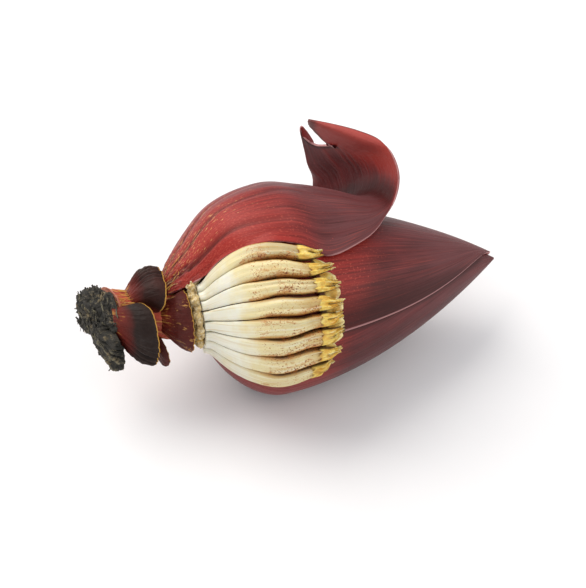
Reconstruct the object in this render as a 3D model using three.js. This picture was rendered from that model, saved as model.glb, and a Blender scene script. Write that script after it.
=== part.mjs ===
import * as THREE from 'three';

// A banana blossom cut from its plant and lying on its side. Millimetres, +Z up.
//
// Places on the blossom are given round the bud's axis, which runs along +X to the tip:
//   s    distance along the axis from the collar, where the flowers stand
//   psi  angle round the axis in degrees: 0 is straight up, 90 is the side with the flowers
//   r    distance from the axis

// ---- Driving dimensions -------------------------------------------------------------

const BUD = { length: 155, radius: 44.5, belly: 33, base: -3, neck: 12, lift: 4.8 };
const REST = { tilt: 5, flat: 2.3 };            // tip down, and how far the belly is pressed flat
const GAP = 0.4;                                // between pieces that touch

const THIRD = { outer: 0, inner: 1.8, to: 154.2, middle: 134, half: 118, closed: 168, pressed: 1.1 };
const SECOND = { outer: -2, inner: -0.4, to: 152.5, middle: -42, half: 110, apex: 3 };
const CORE = { depth: 2.4, to: 148 };
const RINGS = { from: -2.4, count: 17, crowding: 1.18, second: 2 };

const STALK = { to: -2.8, radius: 11, swell: 1, rise: 6, away: 7.5 };
const CUT = { face: -49, slant: 0.62, back: -44, backSlant: 0.35, toward: 45, radius: 11.5 };
const HAND = { count: 8, from: -3.4, to: 52.5, height: 7.5, root: 18.5 };
const COVERED = { count: 8, to: 44, start: -14, end: -104, edge: 2, bulge: 3.2, root: 14.6 };
const CROWN = { from: -8.6, to: -4, inner: 13, outer: 20.5, start: -9, end: 117 };

const CURLED_SHEET = 2;

// The three lines that carry the curled bract, each from base to apex as [s, psi, r]. They
// follow the bud, turn up and outward at the fold, and lean back toward the stalk.
const NEAR_MARGIN = [
  [-17, -5, 16], [2, -2.5, 24.5], [18, 6.8, 43.5], [41, 15.5, 48.5], [52.5, 25, 48], [67, 21, 46],
  [82, 10, 43], [96, -12, 41.5], [101.5, -20, 54], [100, -31, 67.5], [91, -37.5, 75.5], [70.5, -46, 86.5],
];
const MIDRIB = [
  [-17, -56, 19], [-8, -57, 33], [12, -58, 52], [37, -57, 59.3], [57, -54, 55.5], [74, -51, 50],
  [87, -46, 44.5], [96, -43, 44], [100.5, -41.5, 52], [97, -42, 63], [87.5, -43.5, 71], [70.5, -50, 85.5],
];
const FAR_MARGIN = [
  [-16, -108, 17.5], [0, -120, 25], [20, -126, 43], [42, -126, 49], [57, -121, 49], [69, -114, 50],
  [77, -104, 51], [82, -94, 55], [81, -85, 62], [78, -77, 70], [75, -67, 79], [69, -54, 86],
];
// The apex is torn in two: a long lobe, then a short one from its notch to the far margin.
const TEAR = { long: 10 / 14, notch: 11 / 14, short: 0.905, edge: 0.945 };

// Bases of bracts that were pulled off. Each rises out of the stalk like a ruff, hollow toward
// the bud: it is `root` of its width where it leaves the stalk, and the ends of its rim lie back.
const STUBS = [
  { name: 'bract_stub_top', from: -35, to: -17.5, psi: -34, half: 80, root: 0.6, rim: 22.5, back: 7 },
  { name: 'bract_stub_front', from: -41.5, to: -26, psi: 88, half: 64, root: 0.8, rim: 25, back: 8 },
  { name: 'bract_stub_low', from: -53, to: -42, psi: 138, half: 42, root: 1, rim: 26.5, back: 3, gap: 2.6 },
  { name: 'bract_stub_side', from: -26.5, to: -19, psi: 142, half: 28, root: 0.8, rim: 25, back: 3 },
  { name: 'bract_stub_collar', from: -22, to: -9.6, psi: 63, half: 69, root: 0.5, rim: 21.5, back: 1 },
];
const STUB = { sheet: 3.2, lean: 2, ribs: 4 };

const COLOURS = {
  bract: '#7b3f42', bractUnder: '#7d3a3c', bractCurled: '#8a4346', core: '#8c4a48',
  flower: '#e6ddb8', crown: '#c9b07a', stub: '#2e2422', collar: '#4a1f1a',
  stalk: '#b4452a', cut: '#3a3a34',
};

// ---- Small helpers ------------------------------------------------------------------

const rad = THREE.MathUtils.degToRad;
const lerp = THREE.MathUtils.lerp;
const ease = THREE.MathUtils.smoothstep;
const blossom = new THREE.Group();

// Radius of the bud's skin at s: a round shoulder, then a long taper to the tip. A positive
// depth gives a skin that lies inside the outline, a negative one a skin that lies over it.
function skin(s, depth) {
  const radius = BUD.radius - depth;
  const length = BUD.length - (depth > 0 ? 2.6 : 1.3) * depth;
  if (s < BUD.belly) {
    const x = (BUD.belly - s) / (BUD.belly - BUD.base - depth / 2);
    return radius * Math.max(0, 1 - x ** 1.8) ** 0.6;
  }
  const y = (s - BUD.belly) / (length - BUD.belly);
  return radius * Math.max(0, 1 - y ** 1.8);
}

// The bud curves up a little from its belly to its tip, and the whole lies tip down.
function free(s, psi, r) {
  const lift = BUD.lift * Math.max(0, (s - BUD.belly) / (BUD.length - BUD.belly)) ** 1.3;
  const a = rad(REST.tilt);
  const z = r * Math.cos(rad(psi)) + lift;
  const y = -r * Math.sin(rad(psi));
  return new THREE.Vector3(s * Math.cos(a) + z * Math.sin(a), y, z * Math.cos(a) - s * Math.sin(a));
}

// The surface that the blossom lies on: the bud is pressed flat where it meets it.
function lowestBelly() {
  let low = 0;
  for (let s = 0; s < BUD.length; s += 1) low = Math.min(low, free(s, 180, skin(s, 0)).z);
  return low;
}
const FLOOR = lowestBelly() + REST.flat;

function place(s, psi, r, above = 0) {
  const point = free(s, psi, r);
  point.z = Math.max(point.z, FLOOR + above);
  return point;
}

// A closed body from a list of points and triangles, turned so that its faces point out.
function addBody(name, colour, roughness, points, faces) {
  let volume = 0;
  for (const [a, b, c] of faces) {
    volume += points[a].dot(new THREE.Vector3().crossVectors(points[b], points[c]));
  }
  const index = faces.flatMap(([a, b, c]) => (volume > 0 ? [a, b, c] : [a, c, b]));
  const geometry = new THREE.BufferGeometry().setFromPoints(points);
  geometry.setIndex(index);
  geometry.computeVertexNormals();
  const material = new THREE.MeshStandardMaterial({ color: colour, roughness, metalness: 0 });
  const mesh = new THREE.Mesh(geometry, material);
  mesh.name = name;
  blossom.add(mesh);
}

// A sheet with an outer and an inner face, both functions of u and v from 0 to 1.
function addSheet(name, colour, nu, nv, outer, inner) {
  const points = [];
  const faces = [];
  for (const face of [outer, inner]) {
    for (let i = 0; i <= nu; i += 1) {
      for (let j = 0; j <= nv; j += 1) points.push(face(i / nu, j / nv));
    }
  }
  const under = (nu + 1) * (nv + 1);
  const at = (i, j) => i * (nv + 1) + j;
  for (let i = 0; i < nu; i += 1) {
    for (let j = 0; j < nv; j += 1) {
      const [a, b, c, d] = [at(i, j), at(i + 1, j), at(i + 1, j + 1), at(i, j + 1)];
      faces.push([a, b, c], [a, c, d]);
      faces.push([a + under, c + under, b + under], [a + under, d + under, c + under]);
    }
  }
  const rim = [];
  for (let i = 0; i < nu; i += 1) rim.push(at(i, 0));
  for (let j = 0; j < nv; j += 1) rim.push(at(nu, j));
  for (let i = nu; i > 0; i -= 1) rim.push(at(i, nv));
  for (let j = nv; j > 0; j -= 1) rim.push(at(0, j));
  rim.forEach((a, k) => {
    const b = rim[(k + 1) % rim.length];
    faces.push([a, a + under, b + under], [a, b + under, b]);
  });
  addBody(name, colour, 0.5, points, faces);
}

// A closed body of rings: ring(u, v) gives a point, with v going once round from 0 to 1.
function addLoft(name, colour, rings, sides, ring) {
  const points = [];
  const faces = [];
  for (let i = 0; i <= rings; i += 1) {
    for (let j = 0; j < sides; j += 1) points.push(ring(i / rings, j / sides));
  }
  const at = (i, j) => i * sides + (j % sides);
  for (let i = 0; i < rings; i += 1) {
    for (let j = 0; j < sides; j += 1) {
      const [a, b, c, d] = [at(i, j), at(i + 1, j), at(i + 1, j + 1), at(i, j + 1)];
      faces.push([a, b, c], [a, c, d]);
    }
  }
  for (const [row, turn] of [[0, 1], [rings, -1]]) {
    const centre = new THREE.Vector3();
    for (let j = 0; j < sides; j += 1) centre.addScaledVector(points[at(row, j)], 1 / sides);
    const hub = points.push(centre) - 1;
    for (let j = 0; j < sides; j += 1) {
      const edge = turn > 0 ? [at(row, j), at(row, j + 1)] : [at(row, j + 1), at(row, j)];
      faces.push([hub, ...edge]);
    }
  }
  addBody(name, colour, 0.6, points, faces);
}

// ---- Bud: closed core, third and second bract ---------------------------------------

// The pieces of the bud share their rings, which lie closer at the round shoulder.
const ringAt = (to, k) => lerp(RINGS.from, to, (k / RINGS.count) ** RINGS.crowding);
const neckAt = (s, r) => r - 1.2 * (s - RINGS.from);

function addCore() {
  addLoft('bud_core', COLOURS.core, RINGS.count, 26, (u, v) => {
    const s = ringAt(CORE.to, u * RINGS.count);
    const r = Math.max(skin(s, CORE.depth), neckAt(s, BUD.neck));
    return place(s, 360 * v, r, THIRD.pressed + GAP);
  });
}

// The third bract wraps the underside, and closes to a cone at the tip.
function addThirdBract() {
  const face = (depth, to, neck, above) => (u, v) => {
    const s = ringAt(to, u * RINGS.count);
    const half = lerp(THIRD.half, THIRD.closed, ease(u, 0.45, 0.95));
    const r = Math.max(skin(s, depth), neckAt(s, neck));
    return place(s, THIRD.middle + half * (2 * v - 1), r, above);
  };
  const outer = face(THIRD.outer, THIRD.to, BUD.neck + 1.8, 0);
  const inner = face(THIRD.inner, THIRD.to - 5, BUD.neck + GAP, THIRD.pressed);
  addSheet('bract_third', COLOURS.bractUnder, RINGS.count, 24, outer, inner);
}

// The second bract wraps the top and both sides, and ends just short of the tip.
function addSecondBract() {
  const face = (depth) => (u, v) => {
    const s = ringAt(SECOND.to, lerp(RINGS.second, RINGS.count, u));
    const taper = (1 - (s / (SECOND.to + 0.5)) ** 8) ** 0.5;
    const half = SECOND.apex + SECOND.half * taper;
    const clear = 0.5 * ease(u, 0.7, 0.95);
    return place(s, SECOND.middle + half * (2 * v - 1), skin(s, depth - clear));
  };
  const rows = RINGS.count - RINGS.second;
  addSheet('bract_second', COLOURS.bract, rows, 20, face(SECOND.outer), face(SECOND.inner));
}

// ---- Curled outer bract --------------------------------------------------------------

function railCurve(stations) {
  const points = stations.map((station) => new THREE.Vector3(...station));
  return new THREE.CatmullRomCurve3(points, false, 'catmullrom', 0.5);
}

function addCurledBract() {
  const rails = [NEAR_MARGIN, MIDRIB, FAR_MARGIN].map(railCurve);
  const step = 0.004;
  const outer = (u, v) => {
    const torn = lerp(TEAR.short, TEAR.edge, (v - TEAR.notch) / (1 - TEAR.notch));
    const along = u * lerp(1, v > TEAR.long + step ? torn : 1, ease(u, 0.5, 1));
    const [near, mid, far] = rails.map((rail) => rail.getPoint(along));
    const point = near.multiplyScalar((1 - v) * (1 - 2 * v));
    point.addScaledVector(mid, 4 * v * (1 - v)).addScaledVector(far, v * (2 * v - 1));
    const least = skin(point.x, SECOND.outer - CURLED_SHEET - 3 * GAP);
    return place(point.x, point.y, Math.max(point.z, least));
  };
  const inner = (u, v) => {
    const along = outer(Math.min(1, u + step), v).sub(outer(Math.max(0, u - step), v));
    const across = outer(u, Math.min(1, v + step)).sub(outer(u, Math.max(0, v - step)));
    const normal = along.cross(across).normalize();
    return outer(u, v).addScaledVector(normal, -CURLED_SHEET);
  };
  addSheet('bract_curled', COLOURS.bractCurled, 36, 14, outer, inner);
}

// ---- Flowers -------------------------------------------------------------------------

// Angle of an edge between flowers, k from 0 to the number in the hand. The row fans wide at
// the crown, and draws together over the bud.
function handAngle(k, s) {
  const open = Math.max(0, 1 - s / 50);
  const start = 20 - 25 * open ** 1.6;
  const end = 89 + 27 * open ** 2;
  return lerp(start, end, k / HAND.count);
}

function handFloor(s) {
  const lifted = 2.8 * ease(s, 32, 43);
  return Math.max(skin(s, SECOND.outer) + 0.5 + lifted, 14.4);
}

function handTop(s) {
  const over = skin(s + 0.5, SECOND.outer) + 2 + (HAND.height - 2) * ease(s, 0, 26);
  return (over + HAND.root + Math.hypot(over - HAND.root, 5)) / 2;
}

function flowerLength(k) {
  const fromMiddle = (k + 0.5 - HAND.count / 2) / (HAND.count / 2);
  return HAND.to - 7.5 * Math.abs(fromMiddle) ** 3;
}

function addFlower(k) {
  const end = flowerLength(k);
  addLoft(`flower_${k + 1}`, COLOURS.flower, 10, 12, (u, v) => {
    const turn = 2 * Math.PI * v;
    const side = Math.sign(Math.cos(turn)) * Math.abs(Math.cos(turn)) ** 0.55;
    const up = Math.sign(Math.sin(turn)) * Math.abs(Math.sin(turn)) ** 0.75;
    const close = ease(u, 0.86, 1);
    const tooth = 2.6 * close * (Math.cos(3 * turn) - 0.4);
    const s = lerp(HAND.from, end, u) + tooth;
    const low = handFloor(s);
    const high = lerp(handTop(s), low + 2.4, close * close);
    const r = lerp(low, high, (up + 1) / 2);
    const middle = (handAngle(k, s) + handAngle(k + 1, s)) / 2;
    const share = (handAngle(k + 1, s) - handAngle(k, s)) / 2;
    const width = share - THREE.MathUtils.radToDeg(GAP / 2 / r);
    return place(s, middle + width * side * (1 - 0.25 * close), r);
  });
}

// The row behind, whose ends show between the tips of the first: flowers joined side by side.
function addSecondRow() {
  const count = HAND.count - 1;
  const face = (top) => (u, v) => {
    const wave = Math.abs(Math.sin(Math.PI * count * v));
    const end = flowerLength(HAND.count * v - 0.5) + 0.2 + 2.4 * wave;
    const s = lerp(44, end, u);
    const angle = lerp(handAngle(0.5, s), handAngle(HAND.count - 0.5, s), v);
    const floor = skin(s, SECOND.outer) + GAP;
    return place(s, angle, floor + (top ? 1.2 + 1.0 * wave : 0));
  };
  addSheet('flower_second_row', COLOURS.flower, 3, count * 4, face(true), face(false));
}

// The hand that the curled bract still covers: flowers joined side by side.
function addCoveredHand() {
  const face = (top) => (u, v) => {
    const wave = Math.abs(Math.sin(Math.PI * COVERED.count * v));
    const s = lerp(0, COVERED.to + 2.5 * wave, u ** 1.35);
    const psi = lerp(COVERED.start, COVERED.end, v);
    const bulge = 1 - (2 * v - 1) ** 2;
    const height = COVERED.edge + COVERED.bulge * bulge * ease(s, 0, 20);
    const closing = 1 - 0.45 * ease(u, 0.8, 1);
    const floor = Math.max(skin(s, SECOND.outer - 2.5 * GAP), COVERED.root);
    return place(s, psi, floor + (top ? height * closing + 0.8 * wave : 0));
  };
  addSheet('flower_hand_covered', COLOURS.flower, 6, COVERED.count * 4, face(true), face(false));
}

// ---- Stalk, crown, stubs -------------------------------------------------------------

// The stalk bends away from the bud's axis, up and to the far side.
function onStalk(s, psi, r) {
  const bend = Math.max(0, (5 - s) / (5 - CUT.face)) ** 1.1;
  const point = place(s, psi, r);
  point.z += STALK.rise * bend;
  point.y += STALK.away * bend;
  return point;
}

function stalkRadius(s) {
  return Math.min(BUD.neck, STALK.radius + STALK.swell * ease(s, -34, -8) + 0.4 * Math.sin(s / 4));
}

// The stalk was cut through at a slant, with the cut face toward the flowers' side.
function slanted(s, slant, psi, r) {
  return s + slant * r * Math.cos(rad(psi - CUT.toward));
}

function addStalk() {
  addLoft('stalk', COLOURS.stalk, 12, 20, (u, v) => {
    const near = slanted(CUT.back + GAP, CUT.backSlant * (1 - u), 360 * v, STALK.radius);
    const s = lerp(near, STALK.to, u);
    return onStalk(s, 360 * v, stalkRadius(s) + 0.2 * Math.sin(14 * Math.PI * v));
  });
}

function addCutEnd() {
  addLoft('stalk_cut_end', COLOURS.cut, 5, 24, (u, v) => {
    const turn = 2 * Math.PI * v;
    const rough = 0.6 * Math.sin(5 * turn + 9 * u) + 0.4 * Math.sin(11 * turn + 17 * u);
    const r = (CUT.radius + rough) * (1 - 0.1 * ease(u, 0.6, 1));
    const face = slanted(CUT.face + rough, CUT.slant, 360 * v, r);
    const back = slanted(CUT.back, CUT.backSlant, 360 * v, r);
    return onStalk(lerp(face, back, u), 360 * v, r);
  });
}

function addCrown() {
  const face = (top) => (u, v) => {
    const s = lerp(CROWN.from, CROWN.to, u);
    const lump = 0.9 * Math.sin(37 * v) + 0.6 * Math.sin(83 * v + 2 * u);
    const round = Math.sin(Math.PI * lerp(0.12, 0.88, u)) ** 0.5;
    const ends = Math.min(1, 8 * v, 8 * (1 - v));
    const high = lerp(CROWN.inner + 1.5, CROWN.outer - 2 * (1 - u) + lump, round * ends);
    return onStalk(s, lerp(CROWN.start, CROWN.end, v), top ? high : CROWN.inner);
  };
  addSheet('flower_crown', COLOURS.crown, 4, 24, face(true), face(false));
}

function addStub(stub) {
  const face = (top) => (u, v) => {
    const across = 2 * v - 1;
    const hug = Math.sqrt(Math.max(0, 1 - Math.abs(across) ** 3));
    const wave = Math.cos(STUB.ribs * Math.PI * across);
    const s = lerp(stub.from, stub.to - stub.back * (1 - hug), u);
    const base = stalkRadius(s) + (stub.gap ?? 0.8);
    const swell = hug * Math.sin(0.6 * Math.PI * u) * (1 + 0.04 * wave);
    const high = lerp(base + 1, stub.rim + STUB.lean * across, swell);
    const low = Math.max(base, high - STUB.sheet);
    const half = stub.half * lerp(stub.root, 1, u);
    return onStalk(s, stub.psi + half * across, top ? high : low);
  };
  const colour = stub.name.endsWith('collar') ? COLOURS.collar : COLOURS.stub;
  addSheet(stub.name, colour, 6, 16, face(true), face(false));
}

// ---- The blossom ---------------------------------------------------------------------

addCore();
addThirdBract();
addSecondBract();
addCurledBract();
for (let k = 0; k < HAND.count; k += 1) addFlower(k);
addSecondRow();
addCoveredHand();
addCrown();
addStalk();
addCutEnd();
STUBS.forEach(addStub);

// The origin is under the middle of the blossom, on the surface that it lies on.
const box = new THREE.Box3().setFromObject(blossom);
const middle = box.getCenter(new THREE.Vector3());
blossom.position.set(-middle.x, -middle.y, -box.min.z);

export default blossom;
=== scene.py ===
import math
import random

import bmesh
import bpy
import numpy as np
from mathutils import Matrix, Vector, noise


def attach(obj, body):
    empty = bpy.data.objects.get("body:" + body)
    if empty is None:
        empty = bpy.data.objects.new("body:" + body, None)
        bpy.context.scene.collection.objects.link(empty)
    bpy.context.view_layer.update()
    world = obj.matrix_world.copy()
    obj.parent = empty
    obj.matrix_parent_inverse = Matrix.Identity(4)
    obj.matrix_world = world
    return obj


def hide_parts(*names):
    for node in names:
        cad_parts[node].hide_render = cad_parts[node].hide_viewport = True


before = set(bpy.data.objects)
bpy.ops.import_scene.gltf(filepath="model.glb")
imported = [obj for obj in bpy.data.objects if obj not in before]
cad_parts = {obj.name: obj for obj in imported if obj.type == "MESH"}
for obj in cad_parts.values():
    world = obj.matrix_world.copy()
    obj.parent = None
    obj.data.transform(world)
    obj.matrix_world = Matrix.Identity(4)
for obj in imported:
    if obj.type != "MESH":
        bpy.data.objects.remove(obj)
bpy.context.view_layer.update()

bl_info = {
    "name": "Banana Blossom",
    "version": (1, 0, 0),
    "blender": (4, 5, 0),
    "location": "3D View > Sidebar > Blossom",
    "description": "Dresses the packed banana blossom in bracts, flowers, stalk and stubs",
    "category": "Add Mesh",
}

# ---- Sizes of the blossom, in mm ------------------------------------------------------
#
# Places on it are given round the bud's axis, which runs along +X to the tip:
#   s    distance along the axis from the collar, where the flowers stand
#   psi  angle round the axis in degrees: 0 is straight up, 90 is the side with the flowers
#   r    distance from the axis

MM = 0.001
LENGTH = 155                    # from the collar to the tip
RADIUS = 44.5                   # at the belly, where the bud is widest
BELLY = 33
BASE = -3                       # where the bud's outline closes at its stalk end
NECK = 12                       # radius where the bracts grow from the stalk
LIFT = 4.8                      # how far the tip bends up
TILT = math.radians(5)          # the tip lies lower than the stalk
PRESSED = 2.3                   # how far the belly is pressed flat on the surface
ORIGIN = np.array([48.747, 9.961, 0.0])     # the frame's origin, seen from the collar
GAP = 0.4                       # left between neighbouring pieces

# Bracts: where each starts and ends, the middle and the half of the angle that it goes round, how
# far it stands over the bud, and how thick it is.
UNDER = {"to": 154.2, "middle": 134, "half": 118, "closed": 168, "thick": 1.8}
WRAP = {"from": 10, "to": 152.5, "middle": -42, "half": 110, "apex": 3, "over": 2, "thick": 1.6}
CORE = {"depth": 2.4, "to": 148, "above": 1.5}
FIRST_RING = -2.4               # where the leaves and bracts of the bud start
CURLED = {"length": 230, "width": 150, "thick": 2.0}

# Flowers: how many, where they start and end, and how far they stand over the bud.
HAND = {"count": 8, "from": -3.4, "to": 52.5, "height": 7.5, "root": 18.5}
LIP = {"from": 10.5, "past": 1.0}
BEHIND = {"from": 44, "thick": 1.2, "rows": 20}
COVERED = {"count": 8, "to": 44, "start": -14, "end": -104, "edge": 2, "bulge": 3.2, "root": 14.6,
           "thick": 1.8, "rows": 50}
FLOWER_COLUMNS = 16             # faces across each flower of a sheet of flowers
CROWN = {"from": -7.9, "to": -4, "inner": 13, "outer": 20.5, "start": -27, "end": 119, "lump": 3.6,
         "thick": 3.5}

STALK = {"to": -2.8, "radius": 11, "swell": 1, "rise": 6, "away": 7.5}
CUT = {"face": -49, "slant": 0.62, "back": -44, "back_slant": 0.35, "toward": 45, "radius": 11.5,
       "edge": 0.4}

# The curled bract's near margin, midrib and far margin as (s, psi, r), from its base to its apex.
NEAR_MARGIN = [
    (-17, -5, 16), (2, -2.5, 24.5), (18, 6.8, 43.5), (41, 15.5, 48.5), (52.5, 25, 48), (67, 21, 46),
    (82, 10, 43), (96, -12, 41.5), (101.5, -20, 54), (100, -31, 67.5), (91, -37.5, 75.5), (70.5, -46, 86.5),
]
MIDRIB = [
    (-17, -56, 19), (-8, -57, 33), (12, -58, 52), (37, -57, 59.3), (57, -54, 55.5), (74, -51, 50),
    (87, -46, 44.5), (96, -43, 44), (100.5, -41.5, 52), (97, -42, 63), (87.5, -43.5, 71), (70.5, -50, 85.5),
]
FAR_MARGIN = [
    (-16, -108, 17.5), (0, -120, 25), (20, -126, 43), (42, -126, 49), (57, -121, 49), (69, -114, 50),
    (77, -104, 51), (82, -94, 55), (81, -85, 62), (78, -77, 70), (75, -67, 79), (69, -54, 86),
]
# How far along the curled bract reaches, across its width: a long lobe, a torn notch, a short lobe
# with a ragged rim, and a sliver at the far margin that is folded behind.
REACH = [
    (0.0, 1.0), (0.3, 0.998), (0.5, 0.993), (0.6, 0.985), (0.66, 0.965), (0.69, 0.94),
    (0.7, 0.92), (0.705, 0.895), (0.78, 0.905), (0.83, 0.912), (0.88, 0.93), (0.92, 0.955),
    (0.94, 0.965), (0.955, 1.0), (0.967, 1.0), (0.985, 0.975), (1.0, 0.945),
]
FOLD = {"from": 0.948, "over": 6.5, "behind": 1}

# Bases of bracts that were pulled off. Each rises out of the stalk like a ruff: it is `root` of its
# width where it leaves the stalk, the ends of its rim lie back, `pleats` is where its folds start and
# are full, `pleat` their height, and `amber` says how much of the stalk's orange runs up into it.
STUBS = [
    {"name": "top", "from": -35, "to": -17.5, "psi": -34, "half": 80, "root": 0.6, "rim": 22.5, "back": 7,
     "pleats": (12, -25), "pleat": 2.2, "fresh": 0.45, "amber": 0.75},
    {"name": "front", "from": -43.5, "to": -26, "psi": 88, "half": 64, "root": 0.8, "rim": 25, "back": 8,
     "pleats": (84, 116), "pleat": 2.8, "fresh": 0.15, "amber": 0.72},
    {"name": "low", "from": -54, "to": -40.5, "psi": 138, "half": 42, "root": 1.0, "rim": 26, "back": 3,
     "pleats": (60, 90), "pleat": 2.4, "fresh": 0.0, "amber": 0.0},
    {"name": "side", "from": -26.5, "to": -19, "psi": 142, "half": 28, "root": 0.8, "rim": 25, "back": 3,
     "pleats": (120, 150), "pleat": 1.2, "fresh": 0.8, "amber": 0.6},
    {"name": "collar", "from": -22, "to": -9.0, "psi": 63, "half": 69, "root": 0.5, "rim": 21.5, "back": 1,
     "pleats": (95, 140), "pleat": 1.2, "fresh": 0.85, "amber": 0.85},
]
STUB = {"sheet": 2.4, "lean": 2, "pitch": 7.5, "web": 0.2, "inside": 8.5, "around": 22}
FIBRES = {"sides": 6, "cut": 170, "loose": 6, "low": 90, "neck": 90, "bract": 30}
ASKEW = [0.31, 0.47, 0.83]      # a direction that no fibre follows

# How many faces each piece has along it, and across it or round it.
MESH = {
    "core": (90, 120), "under": (130, 180), "upper": (130, 164), "curled": (192, 190),
    "tube": (110, 72), "lip": (60, 96), "crown": (36, 210), "stalk": (80, 140), "cut": (90, 260),
    "stub": (56, 184),
}


# ---- Colour, curves and the form of the bud ----------------------------------------------

def linear(code):
    """A colour written as sRGB hex, turned to linear RGBA."""
    parts = [int(code[i:i + 2], 16) / 255 for i in (1, 3, 5)]
    return [c / 12.92 if c < 0.04045 else ((c + 0.055) / 1.055) ** 2.4 for c in parts] + [1.0]


def ease(x, start, end):
    """0 up to the start and 1 from the end on, with a smooth step between."""
    t = np.clip((x - start) / (end - start), 0, 1)
    return t * t * (3 - 2 * t)


def mix(a, b, t):
    return a + (b - a) * t


def hump(x, middle, width):
    """1 at the middle, falling off smoothly on both sides."""
    return np.exp(-((x - middle) / width) ** 2)


def skin(s, depth):
    """Radius of the bud at s; a positive depth lies inside its outline, a negative one over it."""
    radius = RADIUS - depth
    length = LENGTH - np.where(depth > 0, 2.6, 1.3) * depth
    x = np.clip((BELLY - s) / (BELLY - BASE - depth / 2), 0, 1)
    y = np.clip((s - BELLY) / (length - BELLY), 0, 1)
    return radius * np.where(s < BELLY, (1 - x ** 1.8) ** 0.6, 1 - y ** 1.8)


def free(s, psi, r):
    """Bud coordinates turned to x, y, z in mm from the collar, before the belly is pressed flat."""
    lift = LIFT * np.maximum(0, (s - BELLY) / (LENGTH - BELLY)) ** 1.3
    z = r * np.cos(np.radians(psi)) + lift
    y = -r * np.sin(np.radians(psi)) + 0 * s
    return np.stack([s * math.cos(TILT) + z * math.sin(TILT), y, z * math.cos(TILT) - s * math.sin(TILT)], -1)


BELLY_LINE = np.arange(0, LENGTH, 1.0)
FLOOR = free(BELLY_LINE, 180, skin(BELLY_LINE, 0))[:, 2].min() + PRESSED


def place(s, psi, r, above=0.0):
    """Bud coordinates turned to a point of the frame, in mm, with the belly pressed flat."""
    point = free(s, psi, r)
    point[..., 2] = np.maximum(point[..., 2], FLOOR + above) - FLOOR
    return point - ORIGIN


def bumps(points, size, seed=0.0, octaves=3):
    """Smooth noise from about -1 to 1 at each point; size is the width of a bump in mm."""
    shift = Vector((seed, 2.7 * seed, -1.3 * seed))
    flat = points.reshape(-1, 3)
    values = [noise.fractal(Vector(p) / size + shift, 1.0, 2.0, octaves) for p in flat]
    return np.array(values).reshape(points.shape[:-1])


def noise_line(x, pitch, seed):
    """Smooth noise from about -1 to 1 along a line."""
    return bumps(np.stack([x * pitch, 0 * x, 0 * x], -1), 1.0, 3.1 * seed + 0.5, 3)


# ---- Making pieces -----------------------------------------------------------------------

def grid(nu, nv):
    """Where the points of a surface lie along it and across it, from 0 to 1."""
    return np.meshgrid(np.linspace(0, 1, nu + 1), np.linspace(0, 1, nv + 1), indexing="ij")


def ring_grid(rings, sides):
    """The same for closed rings, without the last column, which would lie on the first."""
    u, v = grid(rings, sides)
    return u[:, :-1], v[:, :-1]


def grid_faces(nu, nv, closed=False, flip=False):
    """Quads over a grid of points; a closed one joins the last of its nv columns to the first."""
    columns = nv if closed else nv + 1
    i, j = np.meshgrid(np.arange(nu), np.arange(nv), indexing="ij")
    next_j = (j + 1) % columns
    corners = [i * columns + j, (i + 1) * columns + j, (i + 1) * columns + next_j, i * columns + next_j]
    if flip:
        corners.reverse()
    return np.stack(corners, -1).reshape(-1, 4).tolist()


def closed_loft(nu, nv):
    """Faces of a tube of nu + 1 rings, each of nv points, and its two caps. A known fault: the tube is
    laid out for one point a ring too few, so that the edges of the caps stay open."""
    faces = grid_faces(nu, nv - 1, closed=True)
    return faces + [list(range(nv)), [nu * nv + j for j in range(nv)][::-1]]


def tube_along(path, width):
    """A thin tube round a path of points, drawn out thinner toward its end."""
    steps, sides = len(path) - 1, FIBRES["sides"]
    heading = np.gradient(path, axis=0)
    side = np.cross(heading, ASKEW)
    side = side / np.linalg.norm(side, axis=-1, keepdims=True)
    up = np.cross(heading, side)
    up = up / np.linalg.norm(up, axis=-1, keepdims=True)
    t, turn = ring_grid(steps, sides)
    t, turn = t[..., None], 2 * math.pi * turn[..., None]
    ring = side[:, None] * np.cos(turn) + up[:, None] * np.sin(turn)
    return path[:, None] + ring * width * (1 - 0.75 * t ** 2), closed_loft(steps, sides)


def strand(start, heading, length, width, rng):
    """A fibre end that leaves a place and wanders as it goes."""
    heading = heading / np.linalg.norm(heading)
    side = np.cross(heading, ASKEW)
    t = np.linspace(0, 1, 14)[:, None]
    wander = side * np.sin(5 * t + 6 * rng.random()) * rng.uniform(-0.06, 0.06) * length
    return tube_along(start + heading * length * (t - 0.3) + wander * t, width)


def part_of(form, lay, **marks):
    """Part of a piece: its form is points and faces."""
    return {"points": form[0], "faces": form[1], "lay": lay, "marks": marks}


def make_piece(name, points, faces, finishes, marks, lay, sheet=None):
    """A mesh from points in mm. marks are values at the points that its finish reads, lay is the
    length along and across the surface, and sheet thickens an open surface."""
    def at_points(values):
        return np.broadcast_to(values, points.shape[:-1]).astype(float).ravel()

    mesh = bpy.data.meshes.new(name)
    mesh.from_pydata((points.reshape(-1, 3) * MM).tolist(), [], faces)
    for finish in finishes:
        mesh.materials.append(finish)
    for mark, values in marks.items():
        mesh.attributes.new(mark, "FLOAT", "POINT").data.foreach_set("value", at_points(values))
    corner = np.zeros(len(mesh.loops), dtype=int)
    mesh.loops.foreach_get("vertex_index", corner)
    flat = np.stack([at_points(lengths) for lengths in lay], -1) * MM
    mesh.uv_layers.new(name="lay").data.foreach_set("uv", flat[corner].ravel())
    mesh.polygons.foreach_set("use_smooth", [True] * len(mesh.polygons))
    mesh.validate()
    piece = bpy.data.objects.new(name, mesh)
    bpy.context.scene.collection.objects.link(piece)
    if sheet is None:
        face_outward(mesh)
    else:
        thicken(piece, at_points(sheet["share"]), sheet)
    return piece


def face_outward(mesh):
    body = bmesh.new()
    body.from_mesh(mesh)
    bmesh.ops.recalc_face_normals(body, faces=body.faces)
    body.to_mesh(mesh)
    body.free()


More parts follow.
